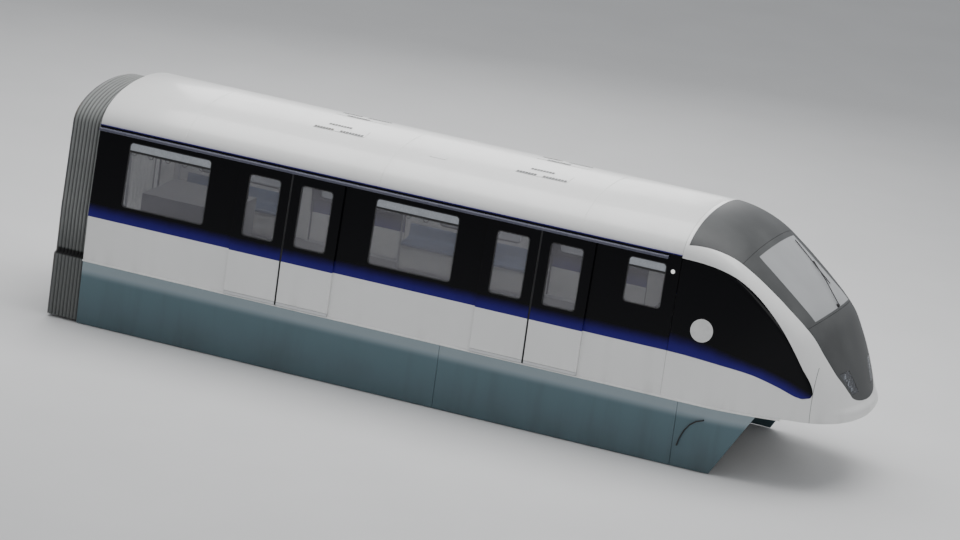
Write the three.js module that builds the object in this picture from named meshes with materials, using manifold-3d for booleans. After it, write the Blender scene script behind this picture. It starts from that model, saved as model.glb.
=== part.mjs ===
// Monorail car: the end car of a train that straddles a concrete beam.
// Millimetres, X forward, Y left, Z up.
// The origin is on the beam's running surface, midway between the axles.
import * as THREE from 'three';
import { mergeVertices } from 'three/addons/utils/BufferGeometryUtils.js';
import Module from 'manifold-3d';

const wasm = await Module();
wasm.setup();

// Car body
const rearEnd = -5300;
const cabStart = 4100;
const bodyBottom = 160;
const waistHeight = 850;
const roofEdge = 2280;
const roofTop = 2790;
const waistHalf = 1530;
const roofEdgeHalf = 1430;
const wall = 60;
const gap = 0.3;

// Floor and underframe
const floorTop = 400;
const floorBottom = 300;
const sillInner = 1250;
const longitudinalHalf = 500;
const longitudinalWidth = 150;
const crossWidth = 160;
const crossMembers = [-5150, -3050, -1000, 1050, 3050];
const ringPlateHalf = 880;
const underframeFront = 5050;
const couplerTop = 110;
const couplerDepth = 80;
const couplerHalf = 60;
const couplerBracketHalf = 200;

// Doors: two leaves in each doorway, hung outside the body side
const doorCentres = [-2080, 1930];
const leafWidth = 850;
const leafMeeting = 2;
const doorwayHalf = 800;
const doorwayTop = 2110;
const leafBottom = 165;
const leafTop = 2190;
const leafClear = 5;
const leafThickness = 40;
const paneMargin = 160;
const paneBottom = 1100;
const paneTop = 2060;
const railBottom = leafTop + 0.5;
const railTop = 2240;

// Skirts below the body sides
const skirtBottom = -850;
const skirtThickness = 30;
const skirtFootHalf = 1515;
const skirtSeam = 4380;
const skirtFrontTop = 5560;
const skirtFrontFoot = 4990;

// Running gear
const axleOffset = 4150;
const loadRadius = 500;
const loadWidth = 280;
const loadTrack = 165;
const rimRadius = 300;
const axleRadius = 60;
const beamHalf = 345;
const guideRadius = 250;
const guideWidth = 170;
const guideHeight = -230;
const guideSpread = 640;
const stabiliserRadius = 250;
const stabiliserWidth = 170;
const stabiliserHeight = -690;
const pinRadius = 35;
const ringOuter = 800;
const ringInner = 630;
const ringTop = bodyBottom - 0.5;
const ringBottom = 90;
const bossRadius = 80;
const hubRecess = 10;
const runningGap = 0.5;
const sideBeamNear = 430;
const sideBeamFar = 720;
const sideBeamHalfLength = 780;
const sideBeamBottom = -100;
const axleBoxNear = 455;
const axleBoxFar = 520;
const axleBoxHalfLength = 110;
const axleBoxTop = 620;
const legNear = 500;
const legFar = 700;
const legHalfLength = 130;
const tyreSides = 24;
const wheelSides = 14;
const housingTop = 1130;
const housingHalfLength = 700;
const housingHalfWidth = 600;
const housingSkin = 20;

// Gangway
const gangwayRear = -5815;
const passageHalf = 850;
const passageTop = 2320;
const foldPitch = 64.4;
const foldDepth = 30;
const bellowsHalf = 1425;
const bellowsRoofHalf = 1340;
const bellowsShoulder = 2200;
const bellowsRise = 480;
const bellowsLegOut = 70;
const bellowsLegTop = 150;
const bellowsLegInner = 1200;
const bellowsFoot = skirtBottom + 30;

// Materials
function paint(color, roughness, metalness = 0) {
  return new THREE.MeshStandardMaterial({ color, roughness, metalness });
}
const white = paint(0xe4e4e0, 0.35);
const blackGloss = paint(0x14151c, 0.12);
const tealPaint = paint(0x4f6c74, 0.45);
const maskGrey = paint(0x3a3c40, 0.3);
const tintedGlass = paint(0x2b3236, 0.08);
const bellowsGrey = paint(0x4a4a4c, 0.85);
const tyreRubber = paint(0x1a1a1b, 0.9);
const steelGrey = paint(0x5c6064, 0.5, 0.6);
const floorGrey = paint(0x6f7275, 0.8);
const seatBlue = paint(0x2c4a7a, 0.6);
const lampClear = paint(0xd8dde2, 0.1);

// Solids: a closed three.js geometry becomes a solid that can be joined and cut
function solid(geometry) {
  const bare = geometry.clone();
  bare.deleteAttribute('normal');
  bare.deleteAttribute('uv');
  const merged = mergeVertices(bare, 1e-3);
  const mesh = new wasm.Mesh({
    numProp: 3,
    vertProperties: new Float32Array(merged.attributes.position.array),
    triVerts: new Uint32Array(merged.index.array),
  });
  mesh.merge();
  return new wasm.Manifold(mesh);
}

function geometryOf(body) {
  const mesh = body.getMesh();
  const geometry = new THREE.BufferGeometry();
  geometry.setAttribute('position', new THREE.BufferAttribute(new Float32Array(mesh.vertProperties), 3));
  geometry.setIndex(new THREE.BufferAttribute(new Uint32Array(mesh.triVerts), 1));
  geometry.computeVertexNormals();
  return geometry;
}

const join = (...bodies) => bodies.reduce((sum, body) => sum.add(body));
const cut = (body, ...tools) => tools.reduce((rest, tool) => rest.subtract(tool), body);

function extruded(outline, depth) {
  const shape = new THREE.Shape(outline.map(([a, b]) => new THREE.Vector2(a, b)));
  return new THREE.ExtrudeGeometry(shape, { depth, bevelEnabled: false, curveSegments: 12 });
}

// Prisms along each axis, from outlines of [x, y], [x, z] or [y, z] points
function prismZ(outline, z0, z1) {
  return solid(extruded(outline, z1 - z0).translate(0, 0, z0));
}

function prismY(outline, y0, y1) {
  return solid(extruded(outline, y1 - y0).rotateX(Math.PI / 2).translate(0, y1, 0));
}

function prismX(outline, x0, x1) {
  const geometry = extruded(outline, x1 - x0);
  const turn = new THREE.Matrix4().set(0, 0, 1, x0, 1, 0, 0, 0, 0, 1, 0, 0, 0, 0, 0, 1);
  return solid(geometry.applyMatrix4(turn));
}

function block(x0, x1, y0, y1, z0, z1) {
  const size = new THREE.BoxGeometry(x1 - x0, y1 - y0, z1 - z0);
  return solid(size.translate((x0 + x1) / 2, (y0 + y1) / 2, (z0 + z1) / 2));
}

// A block on both sides of the car, from its near and far distance to the centre line
function blockPair(x0, x1, near, far, z0, z1) {
  return join(block(x0, x1, near, far, z0, z1), block(x0, x1, -far, -near, z0, z1));
}

function upright(radius, z0, z1, x, y, sides = 16) {
  const drum = new THREE.CylinderGeometry(radius, radius, z1 - z0, sides).rotateX(Math.PI / 2);
  return solid(drum.translate(x, y, (z0 + z1) / 2));
}

function crosswise(radius, y0, y1, x, z, sides = 24) {
  return solid(new THREE.CylinderGeometry(radius, radius, y1 - y0, sides).translate(x, (y0 + y1) / 2, z));
}

const boreRadius = (pin, sides) => (pin + gap) / Math.cos(Math.PI / sides);

function rounded(x0, x1, z0, z1, radius, steps = 3) {
  const corners = [[x1, z0, -90], [x1, z1, 0], [x0, z1, 90], [x0, z0, 180]];
  const points = [];
  for (const [x, z, start] of corners) {
    const cx = x === x1 ? x1 - radius : x0 + radius;
    const cz = z === z1 ? z1 - radius : z0 + radius;
    for (let step = 0; step <= steps; step += 1) {
      const angle = THREE.MathUtils.degToRad(start + 90 * step / steps);
      points.push([cx + radius * Math.cos(angle), cz + radius * Math.sin(angle)]);
    }
  }
  return points;
}

// Body section: upright to the waist, leaning in to the roof edge, then half an ellipse
function sideAt(z) {
  const share = Math.max(0, z - waistHeight) / (roofEdge - waistHeight);
  return waistHalf - (waistHalf - roofEdgeHalf) * share;
}

function roofArc(inset, steps = 20) {
  const points = [];
  for (let step = 0; step <= steps; step += 1) {
    const angle = Math.PI * step / steps;
    const half = roofEdgeHalf - inset;
    const rise = roofTop - roofEdge - inset;
    points.push([half * Math.cos(angle), roofEdge + rise * Math.sin(angle)]);
  }
  return points;
}

function bodySection(inset, bottom) {
  const side = waistHalf - inset;
  return [[side, bottom], [side, waistHeight], ...roofArc(inset), [-side, waistHeight], [-side, bottom]];
}

// A plate that follows the body side, between two distances out from the side's outer face
function sidePlate(side, x0, x1, near, far, z0, z1) {
  const levels = z0 < waistHeight && z1 > waistHeight ? [z0, waistHeight, z1] : [z0, z1];
  const outline = [
    ...levels.map((z) => [side * (sideAt(z) + far), z]),
    ...levels.slice().reverse().map((z) => [side * (sideAt(z) + near), z]),
  ];
  return prismX(outline, x0, x1);
}

// Cab: half planes fanned about the cross line at the foot of the cab's rear edge. In each one the outline
// runs along the side to a corner, then round a quarter ellipse to the centre line.
// Columns: angle above level in degrees, reach of the side, half width at the corner, reach at the centre
const cabFans = [
  [90, 2120, 1430, 2630],
  [81, 2118, 1427, 2598],
  [72, 2106, 1420, 2530],
  [63, 2076, 1411, 2434],
  [54, 2054, 1401, 2394],
  [45, 2050, 1388, 2418],
  [37, 2060, 1368, 2490],
  [31, 2070, 1348, 2548],
  [24, 2089, 1321, 2564],
  [16, 2116, 1294, 2604],
  [8, 2130, 1272, 2676],
  [5, 2122, 1262, 2722],
  [3, 2112, 1255, 2786],
  [1.4, 2098, 1248, 2790],
  [0, 2080, 1240, 2752],
];
const sideBreak = (waistHeight - bodyBottom) / (roofEdge - bodyBottom);

// One half plane's outline as [reach, half width], from the side's foot to the centre line
function fanOutline([angle, side, corner, centre], inset, lift) {
  const lean = 1 + 0.6 * (1 - angle / 90);
  const start = waistHalf - inset;
  const end = corner - inset;
  const points = [];
  for (const share of [sideBreak, 0.56, 0.78]) {
    const along = (share - sideBreak) / (1 - sideBreak);
    points.push([side * share, start - (start - end) * along ** lean]);
  }
  for (const turn of [0, 15, 30, 45, 60, 74, 90]) {
    const swing = THREE.MathUtils.degToRad(turn);
    points.push([side + (centre - inset - side) * Math.sin(swing), end * Math.cos(swing)]);
  }
  const tilt = THREE.MathUtils.degToRad(angle);
  const shift = lift * Math.sin(tilt) - (lift > 0 ? 20 : 0) * Math.cos(tilt);
  return points.map(([reach, half]) => [reach - shift, half]);
}

function cabSolid(inset, lift) {
  const x0 = cabStart - (lift > 0 ? 20 : 0);
  const z0 = bodyBottom + lift;
  const foot = waistHalf - inset;
  const positions = [x0, foot, z0, x0, -foot, z0, x0, 0, z0];
  const rows = cabFans.map((fan) => {
    const tilt = THREE.MathUtils.degToRad(fan[0]);
    const half = fanOutline(fan, inset, lift);
    const whole = [...half, ...half.slice(0, -1).reverse().map(([reach, y]) => [reach, -y])];
    return whole.map(([reach, y]) => {
      positions.push(x0 + reach * Math.cos(tilt), y, z0 + reach * Math.sin(tilt));
      return positions.length / 3 - 1;
    });
  });
  const faces = [];
  const last = rows[0].length - 1;
  for (let row = 0; row < rows.length - 1; row += 1) {
    const upper = rows[row];
    const lower = rows[row + 1];
    faces.push(0, upper[0], lower[0], 1, lower[last], upper[last]);
    for (let step = 0; step < last; step += 1) {
      faces.push(upper[step], lower[step + 1], lower[step], upper[step], upper[step + 1], lower[step + 1]);
    }
  }
  const rear = [0, ...rows[0], 1];
  const floor = [0, ...rows[rows.length - 1], 1];
  for (let step = 0; step < rear.length - 1; step += 1) {
    faces.push(2, rear[step + 1], rear[step]);
    faces.push(2, floor[step], floor[step + 1]);
  }
  const geometry = new THREE.BufferGeometry();
  geometry.setAttribute('position', new THREE.Float32BufferAttribute(positions, 3));
  geometry.setIndex(faces);
  return solid(geometry);
}

// Cab openings, side view [x, z] and top view [x, half width]
const sideGlassOutline = [
  [4110, 850], [4400, 828], [4900, 796], [5400, 752], [5800, 690], [6080, 616], [6210, 586],
  [6285, 606], [6300, 650], [6240, 770], [6110, 960], [5960, 1190], [5780, 1440], [5560, 1680],
  [5280, 1920], [4980, 2100], [4700, 2186], [4400, 2226], [4110, 2236],
];
const maskHalfWidths = [
  [4160, 1360], [4570, 1290], [5110, 1190], [5490, 1135], [5900, 1080], [6230, 990], [6480, 830],
  [6640, 640], [6740, 520], [7200, 460],
];
const maskFoot = 400;
const windscreenFans = [68, 35];
const lampFoot = maskFoot + 60;
const lampTop = 800;

// Mirrors a list of [x, half width] into a closed plan, grown outward a little
function frontOutline(halves, grow) {
  const left = halves.map(([x, half], place) => [x + (place === 0 ? -grow : grow), half + grow]);
  return [...left, ...left.slice().reverse().map(([x, y]) => [x, -y])];
}

// A wedge between two fan angles, about the cab's foot line
function fanWedge(high, low) {
  const reach = 4000;
  const point = (angle) => {
    const tilt = THREE.MathUtils.degToRad(angle);
    return [cabStart + reach * Math.cos(tilt), bodyBottom + reach * Math.sin(tilt)];
  };
  return prismY([[cabStart, bodyBottom], point(low), point(high)], -1600, 1600);
}

// Moves an outline's points outward by a small distance
function grown(outline, distance) {
  const middle = outline.length;
  return outline.map(([x, z], place) => {
    const [ax, az] = outline[(place + middle - 1) % middle];
    const [bx, bz] = outline[(place + 1) % middle];
    const length = Math.hypot(bx - ax, bz - az);
    return [x + distance * (bz - az) / length, z - distance * (bx - ax) / length];
  });
}

const group = new THREE.Group();

function add(name, material, body) {
  const mesh = new THREE.Mesh(geometryOf(body), material);
  mesh.name = name;
  group.add(mesh);
  return mesh;
}

const sides = [['left', 1], ['right', -1]];
const ends = [['front', axleOffset], ['rear', -axleOffset]];

// Body sides. Columns: name, rear edge, front edge, bottom, top
const windows = [
  ['rear', -4780, -3420, 1100, 2110],
  ['middle', -720, 620, 1100, 2110],
  ['cab_end', 3300, 3890, 1420, 2110],
];

function acrossSide(side, outline) {
  return side > 0 ? prismY(outline, 1000, 2000) : prismY(outline, -2000, -1000);
}

for (const [sideName, side] of sides) {
  let panel = sidePlate(side, rearEnd, cabStart - gap, -wall, 0, bodyBottom, waistHeight);
  let band = sidePlate(side, rearEnd, cabStart - gap, -wall, 0, waistHeight, roofEdge);
  for (const centre of doorCentres) {
    const doorway = [
      [centre - doorwayHalf, floorTop], [centre + doorwayHalf, floorTop],
      [centre + doorwayHalf, doorwayTop], [centre - doorwayHalf, doorwayTop],
    ];
    panel = cut(panel, acrossSide(side, doorway));
    band = cut(band, acrossSide(side, doorway));
  }
  const railOut = leafClear + leafThickness + 5;
  const rail = sidePlate(side, rearEnd, cabStart - 200, -1, railOut, railBottom, railTop);
  for (const [windowName, x0, x1, z0, z1] of windows) {
    const opening = rounded(x0, x1, z0, z1, 60);
    band = cut(band, acrossSide(side, opening));
    const pane = sidePlate(side, x0 - 10, x1 + 10, -16, -4, z0 - 10, z1 + 10);
    const trimmed = pane.intersect(acrossSide(side, rounded(x0 + gap, x1 - gap, z0 + gap, z1 - gap, 60)));
    add(`window_${windowName}_${sideName}`, tintedGlass, trimmed);
  }
  add(`side_panel_${sideName}`, white, panel);
  add(`window_band_${sideName}`, blackGloss, join(band, rail));
}

// Roof
add('roof', white, prismX([...roofArc(0), ...roofArc(wall).reverse()], rearEnd, cabStart - gap));

// Cab, cut into its white shell, side glass, roof mask, windscreen and nose mask
const cabInner = cabSolid(wall, wall);
const wholeShell = cut(cabSolid(0, 0), cabInner);
const bogieWell = block(cabStart - 50, 5150, -waistHalf + wall, waistHalf - wall, 0, bodyBottom + wall + 1);
const maskPrism = prismZ(frontOutline(maskHalfWidths, 0), maskFoot + gap, 3000);
const maskOpening = prismZ(frontOutline(maskHalfWidths, gap), maskFoot, 3001);
let cabShell = cut(wholeShell, bogieWell, maskOpening);
for (const [sideName, side] of sides) {
  const reach = (outline) => (side > 0 ? prismY(outline, 950, 1700) : prismY(outline, -1700, -950));
  add(`cab_side_glass_${sideName}`, blackGloss, wholeShell.intersect(reach(sideGlassOutline)));
  cabShell = cut(cabShell, reach(grown(sideGlassOutline, gap)));
}
add('cab_shell', white, cabShell);

const mask = wholeShell.intersect(maskPrism);
const lampOutline = (side) => [
  [6450, side * 420], [6760, side * 300], [6760, side * 470], [6600, side * 600], [6480, side * 640],
];
add('cab_roof_mask', maskGrey, mask.intersect(fanWedge(100, windscreenFans[0] + 0.01)));
add('windscreen', tintedGlass, mask.intersect(fanWedge(windscreenFans[0], windscreenFans[1])));
let noseMask = mask.intersect(fanWedge(windscreenFans[1] - 0.01, 0));
for (const [sideName, side] of sides) {
  const order = (outline) => (side > 0 ? outline : outline.slice().reverse());
  const outline = order(lampOutline(side));
  const lamp = prismZ(outline, lampFoot, lampTop);
  add(`headlamp_${sideName}`, lampClear, noseMask.intersect(lamp));
  noseMask = cut(noseMask, prismZ(grown(outline, gap), lampFoot - gap, lampTop + gap));
}
add('nose_mask', maskGrey, noseMask);

// Floor with its wheel housings, and the console under the windscreen
const cabRoom = cabSolid(wall + 1, wall + 1);
const insideHalf = waistHalf - wall - gap;
let floor = join(
  block(rearEnd + wall + gap, cabStart, -insideHalf, insideHalf, floorBottom, floorTop),
  block(cabStart - 10, 6200, -insideHalf, insideHalf, floorBottom, floorTop).intersect(cabRoom),
);
function housingBlock(x, inset, bottom) {
  const halfLength = housingHalfLength - inset;
  const halfWidth = housingHalfWidth - inset;
  return block(x - halfLength, x + halfLength, -halfWidth, halfWidth, bottom, housingTop - inset);
}
for (const [, x] of ends) {
  floor = join(floor, housingBlock(x, 0, floorBottom));
  floor = cut(floor, housingBlock(x, housingSkin, floorBottom - 1));
}
add('floor', floorGrey, floor);
const consoleOutline = [[5500, floorTop], [6190, floorTop], [6190, 1150], [5900, 1230], [5560, 1080]];
add('front_console', maskGrey, prismY(consoleOutline, -1150, 1150).intersect(cabRoom));

// Underframe: sills, cross members, longitudinals and a ring plate over each bogie
const frameRear = rearEnd + wall + gap;
function frameMember(x0, x1) {
  return block(x0, x1, -sillInner - 1, sillInner + 1, bodyBottom, floorBottom);
}
const longitudinalNear = longitudinalHalf - longitudinalWidth;
let underframe = join(
  blockPair(frameRear, underframeFront, sillInner, insideHalf, bodyBottom, floorBottom),
  blockPair(frameRear, underframeFront, longitudinalNear, longitudinalHalf, bodyBottom, floorBottom),
  ...crossMembers.map((x) => frameMember(x - crossWidth / 2, x + crossWidth / 2)),
);
for (const [, x] of ends) {
  const opening = upright(ringInner + 20, bodyBottom - 1, floorBottom + 1, x, 0, 32);
  underframe = cut(join(underframe, frameMember(x - ringPlateHalf, x + ringPlateHalf)), opening);
}
// Ahead of the cab's rear edge the sills keep inside the cab's narrowing foot
const cabSillHalf = 1395;
underframe = underframe.intersect(join(
  block(rearEnd, cabStart, -insideHalf, insideHalf, bodyBottom, floorBottom),
  block(cabStart - 10, underframeFront + 50, -cabSillHalf, cabSillHalf, bodyBottom, floorBottom),
));
// The coupler bar to the next car hangs from the rear cross member
const couplerFront = crossMembers[0] + 70;
const couplerBracket = block(
  crossMembers[0] - 70, couplerFront, -couplerBracketHalf, couplerBracketHalf, couplerTop - 1, bodyBottom + 1,
);
const couplerBar = block(
  gangwayRear, couplerFront, -couplerHalf, couplerHalf, couplerTop - couplerDepth, couplerTop,
);
add('underframe', steelGrey, join(underframe, couplerBracket, couplerBar));

// Rear end wall with the gangway passage
const passage = rounded(-passageHalf, passageHalf, floorTop, passageTop, 250, 4);
add('rear_end_wall', white, cut(
  prismX(bodySection(wall + gap, bodyBottom), rearEnd, rearEnd + wall),
  prismX(passage, rearEnd - 1, rearEnd + wall + 1),
));

// Gangway bellows: folds that go right round, with a leg down each side of the beam
function bellowsSection(inset) {
  const half = bellowsHalf - inset;
  const leg = half + bellowsLegOut;
  const arc = [];
  for (let step = 0; step <= 16; step += 1) {
    const angle = Math.PI * step / 16;
    const height = bellowsShoulder + (bellowsRise - inset) * Math.sin(angle);
    arc.push([(bellowsRoofHalf - inset) * Math.cos(angle), height]);
  }
  return [
    [leg, bellowsFoot], [leg, bellowsLegTop], [half, bellowsLegTop + 40], [half, waistHeight], ...arc,
    [-half, waistHeight], [-half, bellowsLegTop + 40], [-leg, bellowsLegTop], [-leg, bellowsFoot],
  ];
}
const bellowsInner = [
  [-bellowsLegInner, bellowsFoot - 10], [-bellowsLegInner, bellowsLegTop - 30],
  [bellowsLegInner, bellowsLegTop - 30], [bellowsLegInner, bellowsFoot - 10],
];
function foldedSleeve() {
  const folds = Math.round((rearEnd - gangwayRear) / foldPitch);
  const positions = [];
  const rows = [];
  for (let row = 0; row <= folds * 2; row += 1) {
    const x = gangwayRear + (rearEnd - gap - gangwayRear) * row / (folds * 2);
    rows.push(bellowsSection(row % 2 === 0 ? foldDepth : 0).map(([y, z]) => {
      positions.push(x, y, z);
      return positions.length / 3 - 1;
    }));
  }
  const faces = [];
  const count = rows[0].length;
  for (let row = 0; row < rows.length - 1; row += 1) {
    for (let step = 0; step < count; step += 1) {
      const next = (step + 1) % count;
      faces.push(rows[row][step], rows[row + 1][next], rows[row + 1][step]);
      faces.push(rows[row][step], rows[row][next], rows[row + 1][next]);
    }
  }
  const contour = bellowsSection(foldDepth).map(([y, z]) => new THREE.Vector2(y, z));
  for (const [a, b, c] of THREE.ShapeUtils.triangulateShape(contour, [])) {
    const [first, final] = [rows[0], rows[rows.length - 1]];
    faces.push(first[a], first[c], first[b], final[a], final[b], final[c]);
  }
  const geometry = new THREE.BufferGeometry();
  geometry.setAttribute('position', new THREE.Float32BufferAttribute(positions, 3));
  geometry.setIndex(faces);
  return solid(geometry);
}
add('gangway_bellows', bellowsGrey, cut(
  foldedSleeve(),
  prismX(passage, gangwayRear - 1, rearEnd + 1),
  prismX(bellowsInner, gangwayRear - 1, rearEnd + 1),
));

// Skirts: a long panel and a front panel whose end slants back
function skirtPlate(side, x0, x1) {
  const top = bodyBottom - gap;
  return prismX([
    [side * waistHalf, top], [side * skirtFootHalf, skirtBottom],
    [side * (skirtFootHalf - skirtThickness), skirtBottom], [side * (waistHalf - skirtThickness), top],
  ], x0, x1);
}
// The front panel's plan keeps to the cab's foot: columns x, half width
const footFan = cabFans[cabFans.length - 1];
const cabFoot = fanOutline(footFan, 0, 0).map(([reach, half]) => [cabStart + reach, half]);
const skirtPlan = [[skirtSeam, waistHalf], ...cabFoot.slice(0, 3)];
for (const [sideName, side] of sides) {
  add(`skirt_${sideName}`, tealPaint, skirtPlate(side, rearEnd, skirtSeam - 5));
  const outer = skirtPlan.map(([x, half]) => [x, side * half]);
  const inner = skirtPlan.map(([x, half]) => [x, side * (half - skirtThickness)]).reverse();
  const slant = [
    [skirtSeam, skirtBottom], [skirtFrontFoot, skirtBottom],
    [skirtFrontTop, bodyBottom - gap], [skirtSeam, bodyBottom - gap],
  ];
  const band = prismZ([...outer, ...inner], skirtBottom, bodyBottom);
  add(`skirt_front_${sideName}`, tealPaint, band.intersect(prismY(slant, -1600, 1600)));
}

// Bogies
function lathed(profile, sides) {
  return solid(new THREE.LatheGeometry(profile.map(([r, z]) => new THREE.Vector2(r, z)), sides));
}

function loadTyre() {
  const half = loadWidth / 2;
  return lathed([
    [rimRadius + gap, -half + 30], [loadRadius - 60, -half], [loadRadius - 15, -half + 30],
    [loadRadius, -half + 70], [loadRadius, half - 70], [loadRadius - 15, half - 30],
    [loadRadius - 60, half], [rimRadius + gap, half - 30], [rimRadius + gap, -half + 30],
  ], tyreSides);
}

function loadAxle() {
  let body = crosswise(axleRadius, -530, 530, 0, 0);
  for (const side of [1, -1]) {
    const half = loadWidth / 2;
    const rim = lathed([
      [0, -half + 60], [240, -half + 60], [265, -half + 30], [rimRadius, -half + 30],
      [rimRadius, half - 30], [265, half - 30], [240, half - 60], [0, half - 60],
    ], tyreSides);
    body = join(body, rim.translate([0, side * loadTrack, 0]));
  }
  return body;
}

// A tyre on its hub, turning on an upright pin
function sideWheel(radius, width) {
  const half = width / 2;
  const bore = boreRadius(pinRadius, wheelSides);
  return lathed([
    [bore, -half + hubRecess], [90, -half + hubRecess], [radius - 80, -half + 40],
    [radius - 70, -half], [radius - 16, -half], [radius, -half + 26], [radius, half - 26],
    [radius - 16, half], [radius - 70, half], [radius - 80, half - 40],
    [90, half - hubRecess], [bore, half - hubRecess], [bore, -half + hubRecess],
  ], wheelSides).rotate([90, 0, 0]);
}

const guideY = beamHalf + guideRadius;
const stabiliserY = beamHalf + stabiliserRadius;

// The pin that a side wheel hangs on, with a boss that stops just above the wheel's hub
function wheelPin(x, y, height, width, top) {
  const hubTop = height + width / 2 - hubRecess;
  return join(
    upright(pinRadius, height - width / 2 + 5, top, x, y, wheelSides),
    upright(bossRadius, hubTop + runningGap, top, x, y),
  );
}

function bogieFrame() {
  const ring = cut(
    upright(ringOuter, ringBottom, ringTop, 0, 0, 32),
    upright(ringInner, ringBottom - 1, ringTop + 1, 0, 0, 32),
  );
  const legFoot = stabiliserHeight + stabiliserWidth / 2 + 25;
  let frame = join(
    ring,
    blockPair(
      -sideBeamHalfLength, sideBeamHalfLength, sideBeamNear, sideBeamFar, sideBeamBottom, ringBottom + 5,
    ),
    blockPair(-axleBoxHalfLength, axleBoxHalfLength, axleBoxNear, axleBoxFar, ringBottom - 20, axleBoxTop),
    blockPair(-legHalfLength, legHalfLength, legNear, legFar, legFoot, sideBeamBottom + 1),
  );
  for (const side of [1, -1]) {
    frame = join(frame, wheelPin(0, side * stabiliserY, stabiliserHeight, stabiliserWidth, legFoot + 5));
    for (const x of [guideSpread, -guideSpread]) {
      frame = join(frame, wheelPin(x, side * guideY, guideHeight, guideWidth, sideBeamBottom + 1));
    }
  }
  return cut(frame, crosswise(boreRadius(axleRadius, tyreSides), -600, 600, 0, loadRadius));
}

for (const [endName, x] of ends) {
  add(`bogie_frame_${endName}`, steelGrey, bogieFrame().translate([x, 0, 0]));
  add(`axle_${endName}`, steelGrey, loadAxle().translate([x, 0, loadRadius]));
  for (const [sideName, side] of sides) {
    const tyre = loadTyre().translate([x, side * loadTrack, loadRadius]);
    add(`load_tyre_${endName}_${sideName}`, tyreRubber, tyre);
    for (const [place, step] of [['ahead', 1], ['behind', -1]]) {
      const centre = [x + step * guideSpread, side * guideY, guideHeight];
      const wheel = sideWheel(guideRadius, guideWidth).translate(centre);
      add(`guide_wheel_${endName}_${sideName}_${place}`, tyreRubber, wheel);
    }
    const stabiliser = sideWheel(stabiliserRadius, stabiliserWidth);
    const place = [x, side * stabiliserY, stabiliserHeight];
    add(`stabiliser_wheel_${endName}_${sideName}`, tyreRubber, stabiliser.translate(place));
  }
}

// Door leaves, named by doorway, side and the end they slide to
for (const [doorName, centre] of [['rear', doorCentres[0]], ['front', doorCentres[1]]]) {
  for (const [sideName, side] of sides) {
    for (const [leafName, step] of [['a', -1], ['b', 1]]) {
      const x0 = step > 0 ? centre + leafMeeting : centre - leafWidth;
      const x1 = step > 0 ? centre + leafWidth : centre - leafMeeting;
      const outer = leafClear + leafThickness;
      const plate = sidePlate(side, x0, x1, leafClear, outer, leafBottom, leafTop);
      const pane = rounded(x0 + paneMargin, x1 - paneMargin, paneBottom, paneTop, 60);
      add(`door_${doorName}_${sideName}_${leafName}`, white, cut(plate, acrossSide(side, pane)));
    }
  }
}

// Benches along the sides. Columns: name, rear end, front end
const benches = [['rear', -4980, -3120], ['middle', -1180, 1030]];
for (const [benchName, x0, x1] of benches) {
  for (const [sideName, side] of sides) {
    const outline = [
      [1000, floorTop], [1380, floorTop], [1380, 800], [1458, 810], [1440, 1060], [1405, 1060], [1395, 860],
      [970, 850], [960, 810], [1000, 790],
    ].map(([y, z]) => [side * y, z]);
    const closed = side > 0 ? outline : outline.slice().reverse();
    add(`bench_${benchName}_${sideName}`, seatBlue, prismX(closed, x0, x1));
  }
}

export default group;
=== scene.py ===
# Monorail car: finishes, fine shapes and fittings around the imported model.
import math

import bmesh
import bpy
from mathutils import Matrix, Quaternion, Vector
from mathutils.geometry import tessellate_polygon


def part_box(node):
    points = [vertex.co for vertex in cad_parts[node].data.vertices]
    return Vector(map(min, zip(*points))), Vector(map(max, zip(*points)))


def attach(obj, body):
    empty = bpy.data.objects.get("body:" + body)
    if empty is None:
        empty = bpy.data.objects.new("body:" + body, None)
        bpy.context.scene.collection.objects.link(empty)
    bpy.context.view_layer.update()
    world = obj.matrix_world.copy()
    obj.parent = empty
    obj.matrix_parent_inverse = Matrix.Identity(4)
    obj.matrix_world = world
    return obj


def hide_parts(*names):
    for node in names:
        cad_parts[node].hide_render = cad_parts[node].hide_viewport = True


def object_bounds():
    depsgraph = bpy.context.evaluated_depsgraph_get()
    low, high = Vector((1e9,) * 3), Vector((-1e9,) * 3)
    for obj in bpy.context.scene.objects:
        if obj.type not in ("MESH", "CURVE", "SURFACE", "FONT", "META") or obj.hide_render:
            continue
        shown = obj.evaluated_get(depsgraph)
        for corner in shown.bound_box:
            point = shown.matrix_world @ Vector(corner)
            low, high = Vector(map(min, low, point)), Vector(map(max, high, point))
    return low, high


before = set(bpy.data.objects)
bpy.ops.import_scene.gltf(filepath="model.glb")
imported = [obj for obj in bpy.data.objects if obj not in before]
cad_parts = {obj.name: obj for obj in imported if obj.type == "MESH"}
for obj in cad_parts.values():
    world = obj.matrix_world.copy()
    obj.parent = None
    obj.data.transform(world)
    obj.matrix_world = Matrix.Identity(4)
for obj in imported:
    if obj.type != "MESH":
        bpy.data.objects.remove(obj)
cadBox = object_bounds()
scene = bpy.context.scene
# the factor of y on each side
sides = {"left": 1, "right": -1}

# Body sizes, in metres, read from the model where a node shows them
panelLow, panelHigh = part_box("side_panel_left")
roofLow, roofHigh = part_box("roof")
car = {
    "rear": panelLow.x,
    "cabStart": 4.1,
    "cabJoint": 0.004,
    "bottom": panelLow.z,
    "waist": panelHigh.z,
    "roofEdge": roofLow.z,
    "roofTop": roofHigh.z,
    "waistHalf": panelHigh.y,
    "roofEdgeHalf": roofHigh.y,
    "wall": 0.06,
    "seam": 0.003,
}


# Shaders

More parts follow.
